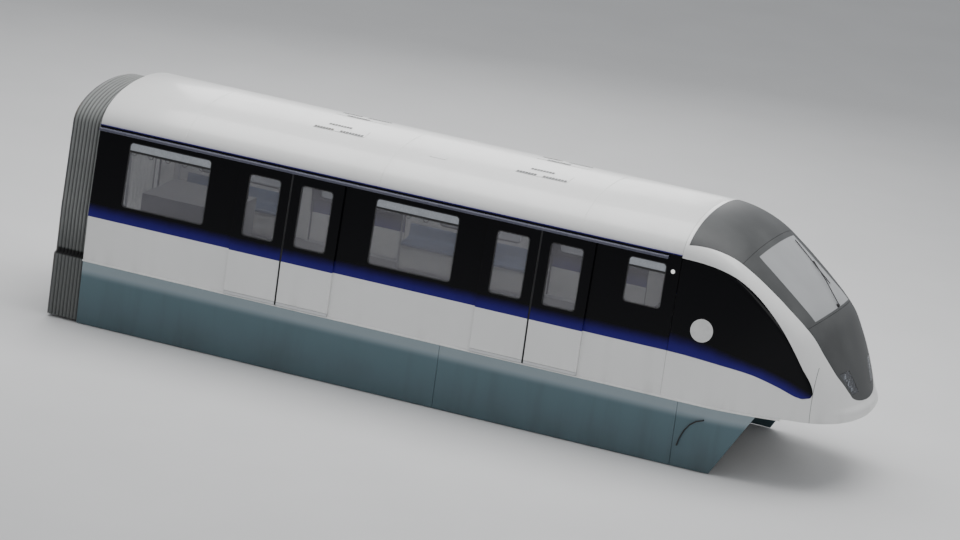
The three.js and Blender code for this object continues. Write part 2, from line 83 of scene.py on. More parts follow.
class Wire:
    # a value in a shader: sums and products of it add Math nodes
    def __init__(self, finish, socket):
        self.finish = finish
        self.socket = socket

    def math(self, operation, first, second):
        return self.finish.node("Math", {"operation": operation}, {0: first, 1: second})

    def __add__(self, other):
        return self.math("ADD", self, other)

    def __radd__(self, other):
        return self.math("ADD", other, self)

    def __sub__(self, other):
        return self.math("SUBTRACT", self, other)

    def __rsub__(self, other):
        return self.math("SUBTRACT", other, self)

    def __mul__(self, other):
        return self.math("MULTIPLY", self, other)

    def __rmul__(self, other):
        return self.math("MULTIPLY", other, self)


class Finish:
    # a material, or the world: node() makes every node, from its type, its settings and its inputs
    def __init__(self, name, library=bpy.data.materials):
        self.owner = library.new(name)
        self.owner.use_nodes = True
        self.nodes = self.owner.node_tree.nodes
        self.links = self.owner.node_tree.links
        self.nodes.clear()

    def node(self, kind, settings=None, inputs=None, output=0):
        made = self.nodes.new("ShaderNode" + kind)
        for key, value in (settings or {}).items():
            setattr(made, key, value)
        for key, value in (inputs or {}).items():
            if isinstance(value, Wire):
                self.links.new(value.socket, made.inputs[key])
            else:
                made.inputs[key].default_value = value
        return Wire(self, made.outputs[output]) if made.outputs else None

    def place(self, stretch=(1, 1, 1)):
        point = self.node("TexCoord", output="Object")
        return self.node("Mapping", {}, {"Vector": point, "Scale": stretch})

    def height(self):
        return self.node("SeparateXYZ", {}, {0: self.node("TexCoord", output="Object")}, "Z")

    def noise(self, scale, detail=2.0, stretch=(1, 1, 1), rough=0.5):
        inputs = {"Vector": self.place(stretch), "Scale": scale, "Detail": detail, "Roughness": rough}
        return self.node("TexNoise", {}, inputs)

    def ramp(self, value, low, high):
        # 0 below low, 1 above high, smooth between
        settings = {"interpolation_type": "SMOOTHSTEP"}
        return self.node("MapRange", settings, {"Value": value, "From Min": low, "From Max": high})

    def mixed(self, mask, first, second):
        # sockets 6 and 7 take the two colours, and output 2 gives the colour between them
        first, second = [end if isinstance(end, Wire) else (*end, 1) for end in (first, second)]
        return self.node("Mix", {"data_type": "RGBA"}, {0: mask, 6: first, 7: second}, 2)

    def bump(self, height, depth):
        return self.node("Bump", {}, {"Height": height, "Distance": depth, "Strength": 1.0})

    def surface(self, colour, **inputs):
        # the main shader, from a colour as three numbers or a wire, and from its sockets by name
        values = {key.replace("_", " ").title().replace("Ior", "IOR"): value for key, value in inputs.items()}
        values["Base Color"] = colour if isinstance(colour, Wire) else (*colour, 1)
        return self.node("BsdfPrincipled", {}, values)

    def show(self, shader, output="OutputMaterial"):
        self.node(output, {}, {"Surface": shader})
        return self.owner

    def cover(self, colour, **inputs):
        return self.show(self.surface(colour, **inputs))


paints = {
    "white": (0.78, 0.78, 0.77),
    "whiteGrime": (0.50, 0.50, 0.48),
    "lining": (0.72, 0.72, 0.70),
    "liningGrime": (0.55, 0.55, 0.53),
    "black": (0.002, 0.002, 0.003),
    "navy": (0.018, 0.010, 0.160),
    "teal": (0.062, 0.122, 0.148),
    "tealPale": (0.24, 0.30, 0.33),
    "tealDarker": (0.048, 0.068, 0.076),
    "bellows": (0.230, 0.238, 0.232),
    # the bellows' fold colour is painted shade
    "bellowsFoldShade": (0.110, 0.115, 0.112),
    # painted shadow in the bellows' step over the legs
    "bellowsGapShade": (0.006, 0.006, 0.006),
    "metal": (0.55, 0.56, 0.57),
    "mirror": (0.75, 0.76, 0.78),
    "floor": (0.20, 0.205, 0.21),
    "floorSpeck": (0.42, 0.42, 0.42),
    "frosted": (0.32, 0.34, 0.37),
    "frostedPale": (0.42, 0.44, 0.47),
    "plate": (0.66, 0.66, 0.65),
    "plateGrime": (0.45, 0.45, 0.45),
    "stage": (0.60, 0.60, 0.60),
    "stagePale": (0.66, 0.66, 0.66),
}


def makeClouded(name, colours, noise, edges, share, rough, grain=None, **inputs):
    # clouds of a second colour over the first, rougher where they lie, and fine grain where it's asked for
    f = Finish(name)
    cloud = f.ramp(f.noise(*noise), *edges)
    if grain:
        scale, detail, depth = grain
        inputs["normal"] = f.bump(f.noise(scale, detail), depth)
    base, added = rough
    return f.cover(f.mixed(cloud * share, *colours), roughness=base + cloud * added, **inputs)


def makeWhitePaint():
    f = Finish("whitePaint")
    cloud = f.ramp(f.noise(0.7, 3), 0.35, 0.75)
    streaks = f.ramp(f.noise(3.0, 4, (1, 1, 0.12)), 0.48, 0.78)
    low = 1 - f.ramp(f.height(), 0.14, 0.42)
    grimeAndDarkening = cloud * 0.10 + streaks * 0.10 + low * streaks * 0.30
    colour = f.mixed(grimeAndDarkening, paints["white"], paints["whiteGrime"])
    bump = f.bump(f.noise(240, 1), 0.0003)
    rough = 0.30 + grimeAndDarkening * 0.5
    return f.cover(colour, roughness=rough, coat_weight=0.4, coat_roughness=0.12, normal=bump)


def makeLining():
    f = Finish("lining")
    colour = f.mixed(f.ramp(f.noise(2.0, 3), 0.4, 0.7) * 0.3, paints["lining"], paints["liningGrime"])
    bump = f.bump(f.noise(400, 1), 0.0002)
    return f.cover(colour, roughness=0.55 + f.noise(30) * 0.1, normal=bump)


def makeBlackGlazing():
    # the navy stripe runs along the lower edge: every glazed piece carries its rise above that edge
    f = Finish("blackGlazing")
    rise = f.node("Attribute", {"attribute_name": "rise"}, output="Fac")
    stripe = 1 - f.ramp(rise + f.noise(6, 2) * 0.03, 0.04, 0.24)
    colour = f.mixed(stripe, paints["black"], paints["navy"])
    return f.cover(colour, roughness=0.06 + f.noise(1.4, 3) * 0.08, specular_ior_level=0.15)


def makeGlass(name, tint, reflectionGrey, cover):
    # clear panes: what lies behind shows through a tint, under a flat grey that paints the sky's reflection,
    # stronger at grazing angles and where dust clouds lie
    f = Finish(name)
    edge = f.node("LayerWeight", {}, {"Blend": 0.25}, "Fresnel")
    haze = f.ramp(f.noise(1.1, 3), 0.3, 0.8)
    clear = f.node("BsdfTransparent", {}, {"Color": (*tint, 1)})
    shine = f.surface(reflectionGrey, roughness=0.03 + haze * 0.04, ior=1.5)
    # painted reflection: the flat grey covers this share of the pane, over a glossy surface
    return f.show(f.node("MixShader", {}, {0: cover + edge * 0.5 + haze * 0.08, 1: clear, 2: shine}))


def makeFrosted():
    f = Finish("frostedPane")
    colour = f.mixed(f.noise(12, 2), paints["frosted"], paints["frostedPale"])
    return f.cover(colour, roughness=0.22 + f.noise(40) * 0.1, coat_weight=0.3, coat_roughness=0.05)


def makeTealPaint():
    f = Finish("tealPaint")
    height = f.height()
    strip = f.ramp(height, -0.12, 0.02)
    streaks = f.ramp(f.noise(5.0, 4, (1, 1, 0.10)), 0.45, 0.8)
    # darker towards the bottom, in clouds, with grime streaks over the whole skirt
    fall = 1 - f.ramp(height, -0.90, 0.05)
    grimeAndDarkening = streaks * 0.22 + fall * (0.35 + 0.35 * f.ramp(f.noise(1.3, 4), 0.25, 0.8))
    colour = f.mixed(strip, f.mixed(grimeAndDarkening, paints["teal"], paints["tealDarker"]), paints["tealPale"])
    bump = f.bump(f.noise(200, 1), 0.0003)
    rough = 0.36 + grimeAndDarkening * 0.4
    return f.cover(colour, roughness=rough, coat_weight=0.25, coat_roughness=0.2, normal=bump)


def makeBellowsCloth():
    # coated cloth: painted shade in the folds, over the lower part and in the step over the legs, with dust
    # clouds on the crests
    f = Finish("bellowsCloth")
    height = f.height()
    crest = f.node("Attribute", {"attribute_name": "crest"}, output="Fac")
    upper = f.ramp(height, 0.25, 0.80)
    # painted shadow: a near black band in the step of the outline over the legs
    jointShade = f.ramp(height, 0.13, 0.16) * (1 - f.ramp(height, 0.22, 0.26))
    weave = f.node("TexWave", {"wave_type": "BANDS", "bands_direction": "Z"},
                   {"Vector": f.place(), "Scale": 60.0, "Distortion": 1.0})
    cloud = f.ramp(f.noise(4.0, 4, (0.4, 1, 1)), 0.3, 0.8)
    # painted shade: the folds take the darker fold colour, and lower down the crests take it too; the clouds
    # are dust
    dustAndFoldShade = crest * (0.75 + 0.25 * cloud) * (0.2 + 0.8 * upper)
    colour = f.mixed(jointShade, f.mixed(dustAndFoldShade, paints["bellowsFoldShade"], paints["bellows"]), paints["bellowsGapShade"])
    return f.cover(colour, roughness=0.82 + cloud * 0.1, normal=f.bump(weave, 0.0008))


def makeBrushed():
    f = Finish("brushedMetal")
    lines = f.noise(160, 2, (0.05, 1, 1))
    return f.cover(paints["metal"], metallic=1.0, roughness=0.22 + lines * 0.18)


def makeFloorCovering():
    f = Finish("floorCovering")
    specks = f.ramp(f.noise(180, 1), 0.62, 0.70)
    colour = f.mixed(specks, paints["floor"], paints["floorSpeck"])
    return f.cover(colour, roughness=0.6 + f.noise(3) * 0.15, normal=f.bump(specks, 0.0003))


def makeGlow(name, colour, strength):
    f = Finish(name)
    return f.cover(colour, roughness=0.35, emission_color=(*colour, 1), emission_strength=strength)


def makeMirror():
    f = Finish("lampMirror")
    return f.cover(paints["mirror"], metallic=1.0, roughness=0.10 + f.noise(30) * 0.05)


def makePlate():
    f = Finish("roundPlate")
    colour = f.mixed(f.ramp(f.noise(9, 3), 0.4, 0.7) * 0.3, paints["plate"], paints["plateGrime"])
    return f.cover(colour, roughness=0.35 + f.noise(20) * 0.1, coat_weight=0.3)


finish = {
    "white": makeWhitePaint(),
    "lining": makeLining(),
    "black": makeBlackGlazing(),
    # each glass: its tint, the grey of its painted reflection, and the share of the pane that grey covers
    "glass": makeGlass("tintedGlass", (0.66, 0.67, 0.68), (0.34, 0.33, 0.36), 0.24),
    "screen": makeGlass("screenGlass", (0.34, 0.36, 0.37), (0.50, 0.51, 0.52), 0.62),
    "lens": makeGlass("lampLens", (0.92, 0.94, 0.96), (0.25, 0.25, 0.26), 0.08),
    "frosted": makeFrosted(),
    "teal": makeTealPaint(),
    "mask": makeClouded("maskPaint", ((0.060, 0.062, 0.063), (0.105, 0.108, 0.109)), (1.6, 4), (0.3, 0.8),
                        0.6, (0.42, 0.12), specular_ior_level=0.22),
    "bellows": makeBellowsCloth(),
    "rubber": makeClouded("sealRubber", ((0.018, 0.018, 0.019), (0.0496, 0.0496, 0.0518)), (6, 4),
                          (0.35, 0.8), 0.6, (0.75, 0.15), (180, 2, 0.0006)),
    "tyre": makeClouded("tyreRubber", ((0.022, 0.022, 0.022), (0.0584, 0.0584, 0.0584)), (5, 4),
                        (0.35, 0.8), 0.6, (0.75, 0.15), (150, 2, 0.0006)),
    "steel": makeClouded("frameSteel", ((0.11, 0.115, 0.12), (0.15, 0.14, 0.125)), (2.2, 5), (0.4, 0.75),
                         1.0, (0.45, 0.3), (90, 3, 0.0008), metallic=0.3),
    "metal": makeBrushed(),
    "floor": makeFloorCovering(),
    "seat": makeClouded("seatShell", ((0.10, 0.15, 0.26), (0.22, 0.27, 0.36)), (5, 4), (0.45, 0.8),
                        0.35, (0.40, 0.2), (500, 1, 0.0003)),
    "trim": makeClouded("navyTrim", ((0.066, 0.068, 0.105), (0.10, 0.10, 0.14)), (2.5, 3), (0.35, 0.8),
                        0.5, (0.25, 0.15), coat_weight=0.4),
    "mirror": makeMirror(),
    "ceilingLight": makeGlow("ceilingLight", (1.0, 0.98, 0.94), 9.0),
    "marker": makeGlow("markerLight", (0.95, 0.95, 0.92), 0.6),
    "led": makeGlow("lampUnit", (0.9, 0.93, 1.0), 0.5),
    "plate": makePlate(),
}
print("finishes made:", len(finish))


# Shapes

meshing = {
    "weld": 0.00002,
    # edges over this angle are kept sharp, or rounded off
    "sharp": 40,
    "bevelSteps": 2,
    # the line that open skins face away from: its front end and its height
    "coreFront": 4.4,
    "coreHeight": 1.0,
}


def addObject(name, data):
    made = bpy.data.objects.new(name, data)
    scene.collection.objects.link(made)
    return made


class Form:
    # gathers the faces of one piece; a mark picks which of the piece's finishes a face takes
    def __init__(self):
        self.points = []
        self.faces = []
        self.marks = []
        self.values = []

    def add(self, points, faces, mark=0, values=None):
        base = len(self.points)
        self.points += [tuple(point) for point in points]
        self.values += values if values else [0.0] * len(points)
        self.faces += [[base + index for index in face] for face in faces]
        self.marks += [mark] * len(faces)
        return self

    def sheet(self, rows, mark=0, values=None, closed=False, flip=False):
        # quads between rows of points
        count = len(rows[0])
        faces = []
        for row in range(len(rows) - 1):
            for step in range(count if closed else count - 1):
                after = (step + 1) % count
                a, b = row * count + step, row * count + after
                quad = [a, b, b + count, a + count]
                faces.append(quad[::-1] if flip else quad)
        flat = [point for row in rows for point in row]
        return self.add(flat, faces, mark, [v for row in values for v in row] if values else None)

    def cells(self, rows, pick):
        # quads between rows of points: pick(row, column) gives the mark of each, or None for a gap
        for row in range(len(rows) - 1):
            for column in range(len(rows[0]) - 1):
                mark = pick(row, column)
                if mark is not None:
                    self.sheet([line[column:column + 2] for line in rows[row:row + 2]], mark)
        return self

    def bar(self, rows):
        # a closed profile carried along rows, with flat ends
        self.sheet(rows, closed=True)
        for row in (rows[0], rows[-1]):
            self.add(row, [list(range(len(row)))])
        return self

    def box(self, xs, ys, zs):
        # a box from its ranges along, across and up
        points = [(x, y, z) for x in xs for y in sorted(ys) for z in zs]
        faces = [[0, 1, 3, 2], [4, 6, 7, 5], [0, 4, 5, 1], [2, 3, 7, 6], [0, 2, 6, 4], [1, 5, 7, 3]]
        return self.add(points, faces)

    def rod(self, path, radius, sides=10):
        # a round bar along a path, with closed ends
        path = [Vector(point) for point in path]
        rings = []
        across = None
        for place, point in enumerate(path):
            ahead = path[min(place + 1, len(path) - 1)] - path[max(place - 1, 0)]
            ahead.normalize()
            if across is None:
                across = ahead.orthogonal().normalized()
            across = (across - ahead * across.dot(ahead)).normalized()
            up = ahead.cross(across)
            rings.append([point + across * u + up * v for u, v in circle(0, 0, radius, sides)])
        self.sheet(rings, closed=True)
        self.add(rings[0], [list(range(sides))[::-1]])
        return self.add(rings[-1], [list(range(sides))])

    def turned(self, profile, centre, axis, sides=32, mark=0):
        # a closed outline of (radius, along) turned about an axis through the centre
        axis = Vector(axis).normalized()
        across = axis.orthogonal().normalized()
        up = axis.cross(across)
        rows = []
        for step in range(sides + 1):
            turn = math.tau * step / sides
            out = across * math.cos(turn) + up * math.sin(turn)
            rows.append([Vector(centre) + out * radius + axis * along for radius, along in profile])
        return self.sheet(rows, mark, closed=True)

    def slab(self, outline, holes, place, mark=0, backMark=None):
        # a plate with holes: place(u, v, depth) puts a point, with depth 0 at the back and 1 at the front
        loops = [outline, *holes]
        flat = [point for loop in loops for point in loop]
        triangles = tessellate_polygon([[Vector((u, v, 0)) for u, v in loop] for loop in loops])
        for depth, own in ((0, mark if backMark is None else backMark), (1, mark)):
            self.add([place(u, v, depth) for u, v in flat], [list(t) for t in triangles], own)
        for loop in loops:
            ring = [*loop, loop[0]]
            self.sheet([[place(u, v, depth) for u, v in ring] for depth in (0, 1)], mark)
        return self

    def mesh(self, name, finishes, smooth=meshing["sharp"], closed=True, values=None):
        mesh = bpy.data.meshes.new(name)
        mesh.from_pydata(self.points, [], self.faces)
        for key in finishes if isinstance(finishes, (list, tuple)) else [finishes]:
            mesh.materials.append(finish[key])
        mesh.polygons.foreach_set("material_index", self.marks)
        if values:
            mesh.attributes.new(values, "FLOAT", "POINT").data.foreach_set("value", self.values)
        work = bmesh.new()
        work.from_mesh(mesh)
        bmesh.ops.remove_doubles(work, verts=work.verts, dist=meshing["weld"])
        bmesh.ops.dissolve_degenerate(work, edges=work.edges, dist=meshing["weld"])
        if closed:
            bmesh.ops.recalc_face_normals(work, faces=work.faces)
        else:
            faceAway(work)
        work.to_mesh(mesh)
        work.free()
        mesh.shade_smooth()
        mesh.set_sharp_from_angle(angle=math.radians(smooth))
        return mesh

    def piece(self, name, finishes, body="car_body", edge=0.0, shell=0.0, smooth=meshing["sharp"],
              replaces=(), slot=None, closed=True, values=None):
        made = addObject(name, self.mesh(name, finishes, smooth, closed, values))
        return dress(made, body, edge, shell, replaces)


def faceAway(work):
    # turns each face of an open skin away from the middle of the car
    for face in work.faces:
        middle = face.calc_center_median()
        core = Vector((min(middle.x, meshing["coreFront"]), 0, meshing["coreHeight"]))
        if face.normal.dot(middle - core) < 0:
            face.normal_flip()


def roundEdges(made, width, harden=True):
    bevel = made.modifiers.new("roundedEdges", "BEVEL")
    bevel.width = width
    bevel.segments = meshing["bevelSteps"]
    bevel.limit_method = "ANGLE"
    bevel.angle_limit = math.radians(meshing["sharp"])
    bevel.harden_normals = harden


def dress(made, body, edge=0.0, shell=0.0, replaces=()):
    # thickness, rounded edges, the body that the piece moves with and the nodes that it stands for
    if shell:
        skin = made.modifiers.new("thickness", "SOLIDIFY")
        skin.thickness = shell
        skin.offset = -1
        skin.use_even_offset = True
    if edge:
        roundEdges(made, edge)
    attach(made, body)
    if replaces:
        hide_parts(*replaces)
    return made


def roundedBox(x0, x1, z0, z1, radius, steps=5):
    # a rectangle with rounded corners, as (u, v) points
    points = []
    for cx, cz, start in ((x1 - radius, z0 + radius, -90), (x1 - radius, z1 - radius, 0),
                          (x0 + radius, z1 - radius, 90), (x0 + radius, z0 + radius, 180)):
        for step in range(steps + 1):
            turn = math.radians(start + 90 * step / steps)
            points.append((cx + radius * math.cos(turn), cz + radius * math.sin(turn)))
    return points


def rectangle(u0, u1, v0, v1):
    return [(u0, v0), (u1, v0), (u1, v1), (u0, v1)]


def circle(u, v, radius, count):
    turns = [math.tau * step / count for step in range(count)]
    return [(u + radius * math.cos(turn), v + radius * math.sin(turn)) for turn in turns]


def arch(half, foot, rise, count):
    # the upper half of an ellipse, from left to right
    turns = [math.pi * step / count for step in range(count + 1)]
    return [(half * math.cos(turn), foot + rise * math.sin(turn)) for turn in turns]


def span(first, last, count):
    return [first + (last - first) * step / count for step in range(count + 1)]


def smoothCurve(rows, x, flatEnd=False):
    # a smooth curve through (x, values...) rows whose x rises; gives the values at x
    last = len(rows) - 1
    x = min(max(x, rows[0][0]), rows[last][0])
    place = 0
    while place < last - 1 and x > rows[place + 1][0]:
        place += 1
    x0, x1 = rows[place][0], rows[place + 1][0]
    t = (x - x0) / (x1 - x0)

    def slope(at, column):
        if at == last and flatEnd:
            return 0.0
        before, after = rows[max(at - 1, 0)], rows[min(at + 1, last)]
        return (after[column] - before[column]) / (after[0] - before[0])

    values = []
    for column in range(1, len(rows[0])):
        a, b = rows[place][column], rows[place + 1][column]
        ma, mb = slope(place, column) * (x1 - x0), slope(place + 1, column) * (x1 - x0)
        values.append(a * (1 + 2 * t) * (1 - t) ** 2 + ma * t * (1 - t) ** 2
                      + b * t * t * (3 - 2 * t) + mb * t * t * (t - 1))
    return values


def border(rows):
    # the loop of points round a patch of rows
    right, left = [row[-1] for row in rows[1:-1]], [row[0] for row in rows[1:-1]]
    return [*rows[0], *right, *rows[-1][::-1], *left[::-1], rows[0][0]]


def solve(value, low, high):
    # the place between low and high where a falling value meets zero
    for _ in range(40):
        middle = (low + high) / 2
        if value(middle) > 0:
            low = middle
        else:
            high = middle
    return (low + high) / 2


# The body section and the cab's surface

cab = {
    # half planes fanned about the cab's foot line: angle, side reach, half width there, centre reach
    "fans": [
        (0, 2.080, 1.240, 2.752), (1.4, 2.098, 1.248, 2.786), (3, 2.112, 1.255, 2.780),
        (5, 2.122, 1.262, 2.722), (8, 2.130, 1.272, 2.676), (16, 2.116, 1.294, 2.604),
        (24, 2.089, 1.321, 2.564), (31, 2.070, 1.348, 2.548), (37, 2.060, 1.368, 2.490),
        (45, 2.050, 1.388, 2.418), (54, 2.054, 1.401, 2.394), (63, 2.076, 1.411, 2.434),
        (72, 2.106, 1.420, 2.530), (81, 2.118, 1.427, 2.598), (90, 2.120, 1.430, 2.630),
    ],
    # side glass: its lower and upper edge in side view, x and z, both from the tip to the cab's rear edge
    "glassLow": [(6.170, 0.520), (6.050, 0.545), (5.800, 0.640), (5.400, 0.750), (4.900, 0.806),
                 (4.400, 0.842), (4.110, 0.850)],
    "glassHigh": [(6.170, 0.520), (6.265, 0.546), (6.295, 0.620), (6.240, 0.770), (6.110, 0.960),
                  (5.960, 1.190), (5.780, 1.440), (5.560, 1.680), (5.280, 1.920), (4.980, 2.100),
                  (4.700, 2.186), (4.400, 2.226), (4.110, 2.236)],
    # half width of the dark mask from above, over x
    "maskHalf": [(4.160, 1.360), (4.570, 1.290), (5.110, 1.190), (5.490, 1.135), (5.900, 1.080),
                 (6.230, 0.990), (6.480, 0.830), (6.640, 0.640), (6.740, 0.520), (7.200, 0.460)],
    "maskRear": 4.160,
    "maskFoot": 5.0,
    "footRound": 2.6,
    "screenHigh": 68.0,
    "screenLow": 35.0,
    "clearHalf": 0.82,
    "header": 2.0,
    "sill": 0.8,
    "lampHigh": 16.0,
    "lampLow": 8.2,
    "lampNear": 0.50,
    "lampFar": 0.90,
    "screenGap": 0.15,
    "underFrom": 5.15,
    # how much of the reach from the side glass's foot counts as height over the stripe
    "stripeShare": 0.75,
    "skin": 0.03,
}
cabX, cabZ = car["cabStart"], car["bottom"]
sideBreak = (car["waist"] - car["bottom"]) / (car["roofEdge"] - car["bottom"])


def sideHalf(z):
    # half width of the straight body side at a height
    share = max(0.0, z - car["waist"]) / (car["roofEdge"] - car["waist"])
    return car["waistHalf"] - (car["waistHalf"] - car["roofEdgeHalf"]) * share


def section(angle, w):
    # the outline in one half plane: w is 0 at the foot, 1 at the corner and 2 at the centre line
    side, corner, centre = smoothCurve(cab["fans"], angle, flatEnd=True)
    lean = 1 + 0.6 * (1 - angle / 90)
    drop = car["waistHalf"] - corner
    if w <= 1:
        along = max(0.0, w - sideBreak) / (1 - sideBreak)
        return side * w, car["waistHalf"] - drop * along ** lean
    t = w - 1
    reach = 0.5523 * (centre - side)
    tilt = drop * lean / ((1 - sideBreak) * side)
    ends = [(side, corner), (side + reach, corner - tilt * reach), (centre, 0.60 * corner), (centre, 0.0)]
    share = [(1 - t) ** 3, 3 * t * (1 - t) ** 2, 3 * t * t * (1 - t), t ** 3]
    return tuple(sum(s * end[axis] for s, end in zip(share, ends)) for axis in (0, 1))


def cabPoint(angle, w, sign=1):
    reach, half = section(angle, w)
    turn = math.radians(angle)
    return Vector((cabX + reach * math.cos(turn), sign * half, cabZ + reach * math.sin(turn)))


def polar(points):
    # side view points as (angle, reach) about the cab's foot line
    return [(math.degrees(math.atan2(z - cabZ, x - cabX)), math.hypot(x - cabX, z - cabZ)) for x, z in points]


def edgeRows(points):
    # a smooth edge through side view points, as (angle, reach) rows whose angle rises
    rows = [(0.0, *points[0])]
    for before, after in zip(points, points[1:]):
        rows.append((rows[-1][0] + math.dist(before, after), *after))
    fine = polar([smoothCurve(rows, along) for along in span(0.0, rows[-1][0], 120)])
    rising = [fine[0]]
    for row in fine[1:]:
        if row[0] > rising[-1][0] + 0.02:
            rising.append(row)
    return rising


glassLow, glassHigh = edgeRows(cab["glassLow"]), edgeRows(cab["glassHigh"])
tipAngle, tipReach = glassLow[0]
roofAngle = math.degrees(math.acos((cab["maskRear"] - cabX) / (car["roofTop"] - cabZ)))


def atReach(angle, reach):
    return solve(lambda w: reach - section(angle, w)[0], 0.0, 2.0)


def glassEdges(angle, grow=0.0):
    # where the side glass starts and ends in a half plane
    if angle <= tipAngle:
        both = atReach(angle, tipReach)
        return both, both
    low = smoothCurve(glassLow, angle)[0] - grow
    high = smoothCurve(glassHigh, angle)[0] + grow
    return atReach(angle, low), atReach(angle, high)


def maskEdge(angle, grow=0.0):
    # where the dark mask starts, narrowing to a round foot
    rise = angle - cab["maskFoot"]
    if rise <= 0:
        return 2.0
    narrow = 1.0
    if rise < cab["footRound"]:
        narrow = math.sqrt(1 - (1 - rise / cab["footRound"]) ** 2)

    def outside(w):
        reach, half = section(angle, w)
        x = cabX + reach * math.cos(math.radians(angle))
        return half - (smoothCurve(cab["maskHalf"], x)[0] * narrow + grow)

    return solve(outside, 0.5, 2.0)


def steps(*stops):
    # rising values from (value, count of steps to the next) pairs
    values = []
    for (first, count), (last, _) in zip(stops, stops[1:]):
        values += span(first, last, count)[:-1]
    return [*values, stops[-1][0]]


def makeCabShell():
    form = Form()
    angles = steps((0, 4), (0.6, 8), (cab["maskFoot"], 10), (cab["maskFoot"] + cab["footRound"], 8),
                   (tipAngle, 12), (14, 66), (roofAngle, 3), (90, 0))
    for sign in sides.values():
        low, high, roof = [], [], []
        for angle in angles:
            w1, w2 = glassEdges(angle, car["seam"])
            w3 = maskEdge(min(angle, roofAngle), car["seam"])
            low.append([cabPoint(angle, w, sign) for w in span(0.0, w1, 18)])
            high.append([cabPoint(angle, w, sign) for w in span(w2, w3, 16)])
            if angle >= roofAngle:
                roof.append([cabPoint(angle, w, sign) for w in span(w3, 2.0, 24)])
        for rows in (low, high, roof):
            form.sheet(rows, flip=sign < 0)
    under = []
    for w in span(0.5, 2.0, 60):
        point = cabPoint(0, w)
        if point.x > cab["underFrom"]:
            under.append([Vector((point.x, point.y * share, cabZ)) for share in span(-1.0, 1.0, 24)])
    form.sheet(under)
    form.piece("cabShell", "white", shell=cab["skin"], edge=0.004, smooth=50, closed=False,
               replaces=["cab_shell"], slot="white_paint")


def makeCabGlass():
    angles = steps((tipAngle + 0.25, 12), (14.5, 60), (89.85, 0))
    for name, sign in sides.items():
        form = Form()
        rows, rises = [], []
        for angle in angles:
            w1, w2 = glassEdges(angle)
            places = span(w1, w2, 26)
            rows.append([cabPoint(angle, w, sign) for w in places])
            foot = section(angle, w1)[0]
            rises.append([(section(angle, w)[0] - foot) * cab["stripeShare"] for w in places])
        form.sheet(rows, values=rises, flip=sign < 0)
        form.piece(f"cabSideGlass.{name}", "black", shell=0.02, edge=0.003, closed=False, values="rise",
                   replaces=[f"cab_side_glass_{name}"], slot="black_glazing")


def maskPoint(angle, across, lift=0.0):
    # across runs from -1 at the right edge of the mask to 1 at its left edge
    sign = 1 if across >= 0 else -1
    w = 2 - (2 - maskEdge(angle)) * abs(across)
    point = cabPoint(angle, w, sign)
    if lift:
        inner = min(w + 0.01, 2.0)
        rise = cabPoint(angle + 0.3, w, sign) - cabPoint(angle - 0.3, w, sign)
        run = cabPoint(angle, inner, sign) - cabPoint(angle, inner - 0.02, sign)
        point += rise.cross(run).normalized() * sign * lift
    return point


def clearShare(angle):
    # how far over the mask's width the clear glass of the windscreen reaches
    w = solve(lambda w: section(angle, w)[1] - cab["clearHalf"], 1.0, 2.0)
    return (2 - w) / (2 - maskEdge(angle))


def makeMask():
    across = span(-1.0, 1.0, 64)
    low, high, gap = cab["screenLow"], cab["screenHigh"], cab["screenGap"]
    rows = [[maskPoint(a, t) for t in across] for a in span(high + gap, roofAngle, 22)]
    Form().sheet(rows).piece("cabRoofMask", "mask", shell=0.02, edge=0.004, closed=False,
                             replaces=["cab_roof_mask"], slot="mask_paint")

    # the windscreen, with a dark border printed round the clear glass
    rows = []
    for angle in steps((low, 3), (low + cab["sill"], 30), (high - cab["header"], 3), (high, 0)):
        clear = clearShare(angle)
        rows.append([maskPoint(angle, t) for t in steps((-1.0, 4), (-clear, 48), (clear, 4), (1.0, 0))])
    form = Form().cells(rows, lambda row, column: 0 if 3 <= row < 33 and 4 <= column < 52 else 1)
    form.piece("windscreen", ["screen", "mask"], shell=0.012, edge=0.003, closed=False,
               replaces=["windscreen"], slot="tinted_glass")
    # rubber in the joints above and below it
    form = Form()
    for start in (low - gap, high):
        form.sheet([[maskPoint(a, t, -0.002) for t in across] for a in (start, start + gap)])
    form.piece("windscreenSeal", "rubber", shell=0.010, closed=False)

    # the nose mask, open where the headlamps sit
    near, far = cab["lampNear"], cab["lampFar"]
    columns = steps((-1.0, 4), (-far, 10), (-near, 24), (near, 10), (far, 4), (1.0, 0))
    angles = steps((cab["maskFoot"] + 0.04, 10), (cab["lampLow"], 10), (cab["lampHigh"], 20), (low - gap, 0))

    def besideLamps(row, column):
        middle = abs(columns[column] + columns[column + 1]) / 2
        isLamp = near < middle < far and cab["lampLow"] <= angles[row] < cab["lampHigh"] - 0.01
        return None if isLamp else 0

    form = Form().cells([[maskPoint(a, t) for t in columns] for a in angles], besideLamps)
    form.piece("noseMask", "mask", shell=0.02, edge=0.003, closed=False, replaces=["nose_mask"],
               slot="mask_paint")


headlamp = {
    "deep": 0.075,
    "wall": 0.066,
    "unitDeep": 0.072,
    "units": (0.2, 0.5, 0.8),
    "cup": [(0.0, 0.006), (0.022, 0.010), (0.040, 0.030), (0.046, 0.050), (0.049, 0.050), (0.044, 0.0),
            (0.0, 0.0)],
    # gap round the lens: as a share of the mask's half width, and in degrees
    "lensGap": (0.01, 0.08),
    "light": [(0.0, 0.010), (0.014, 0.010), (0.012, 0.020), (0.0, 0.024)],
}


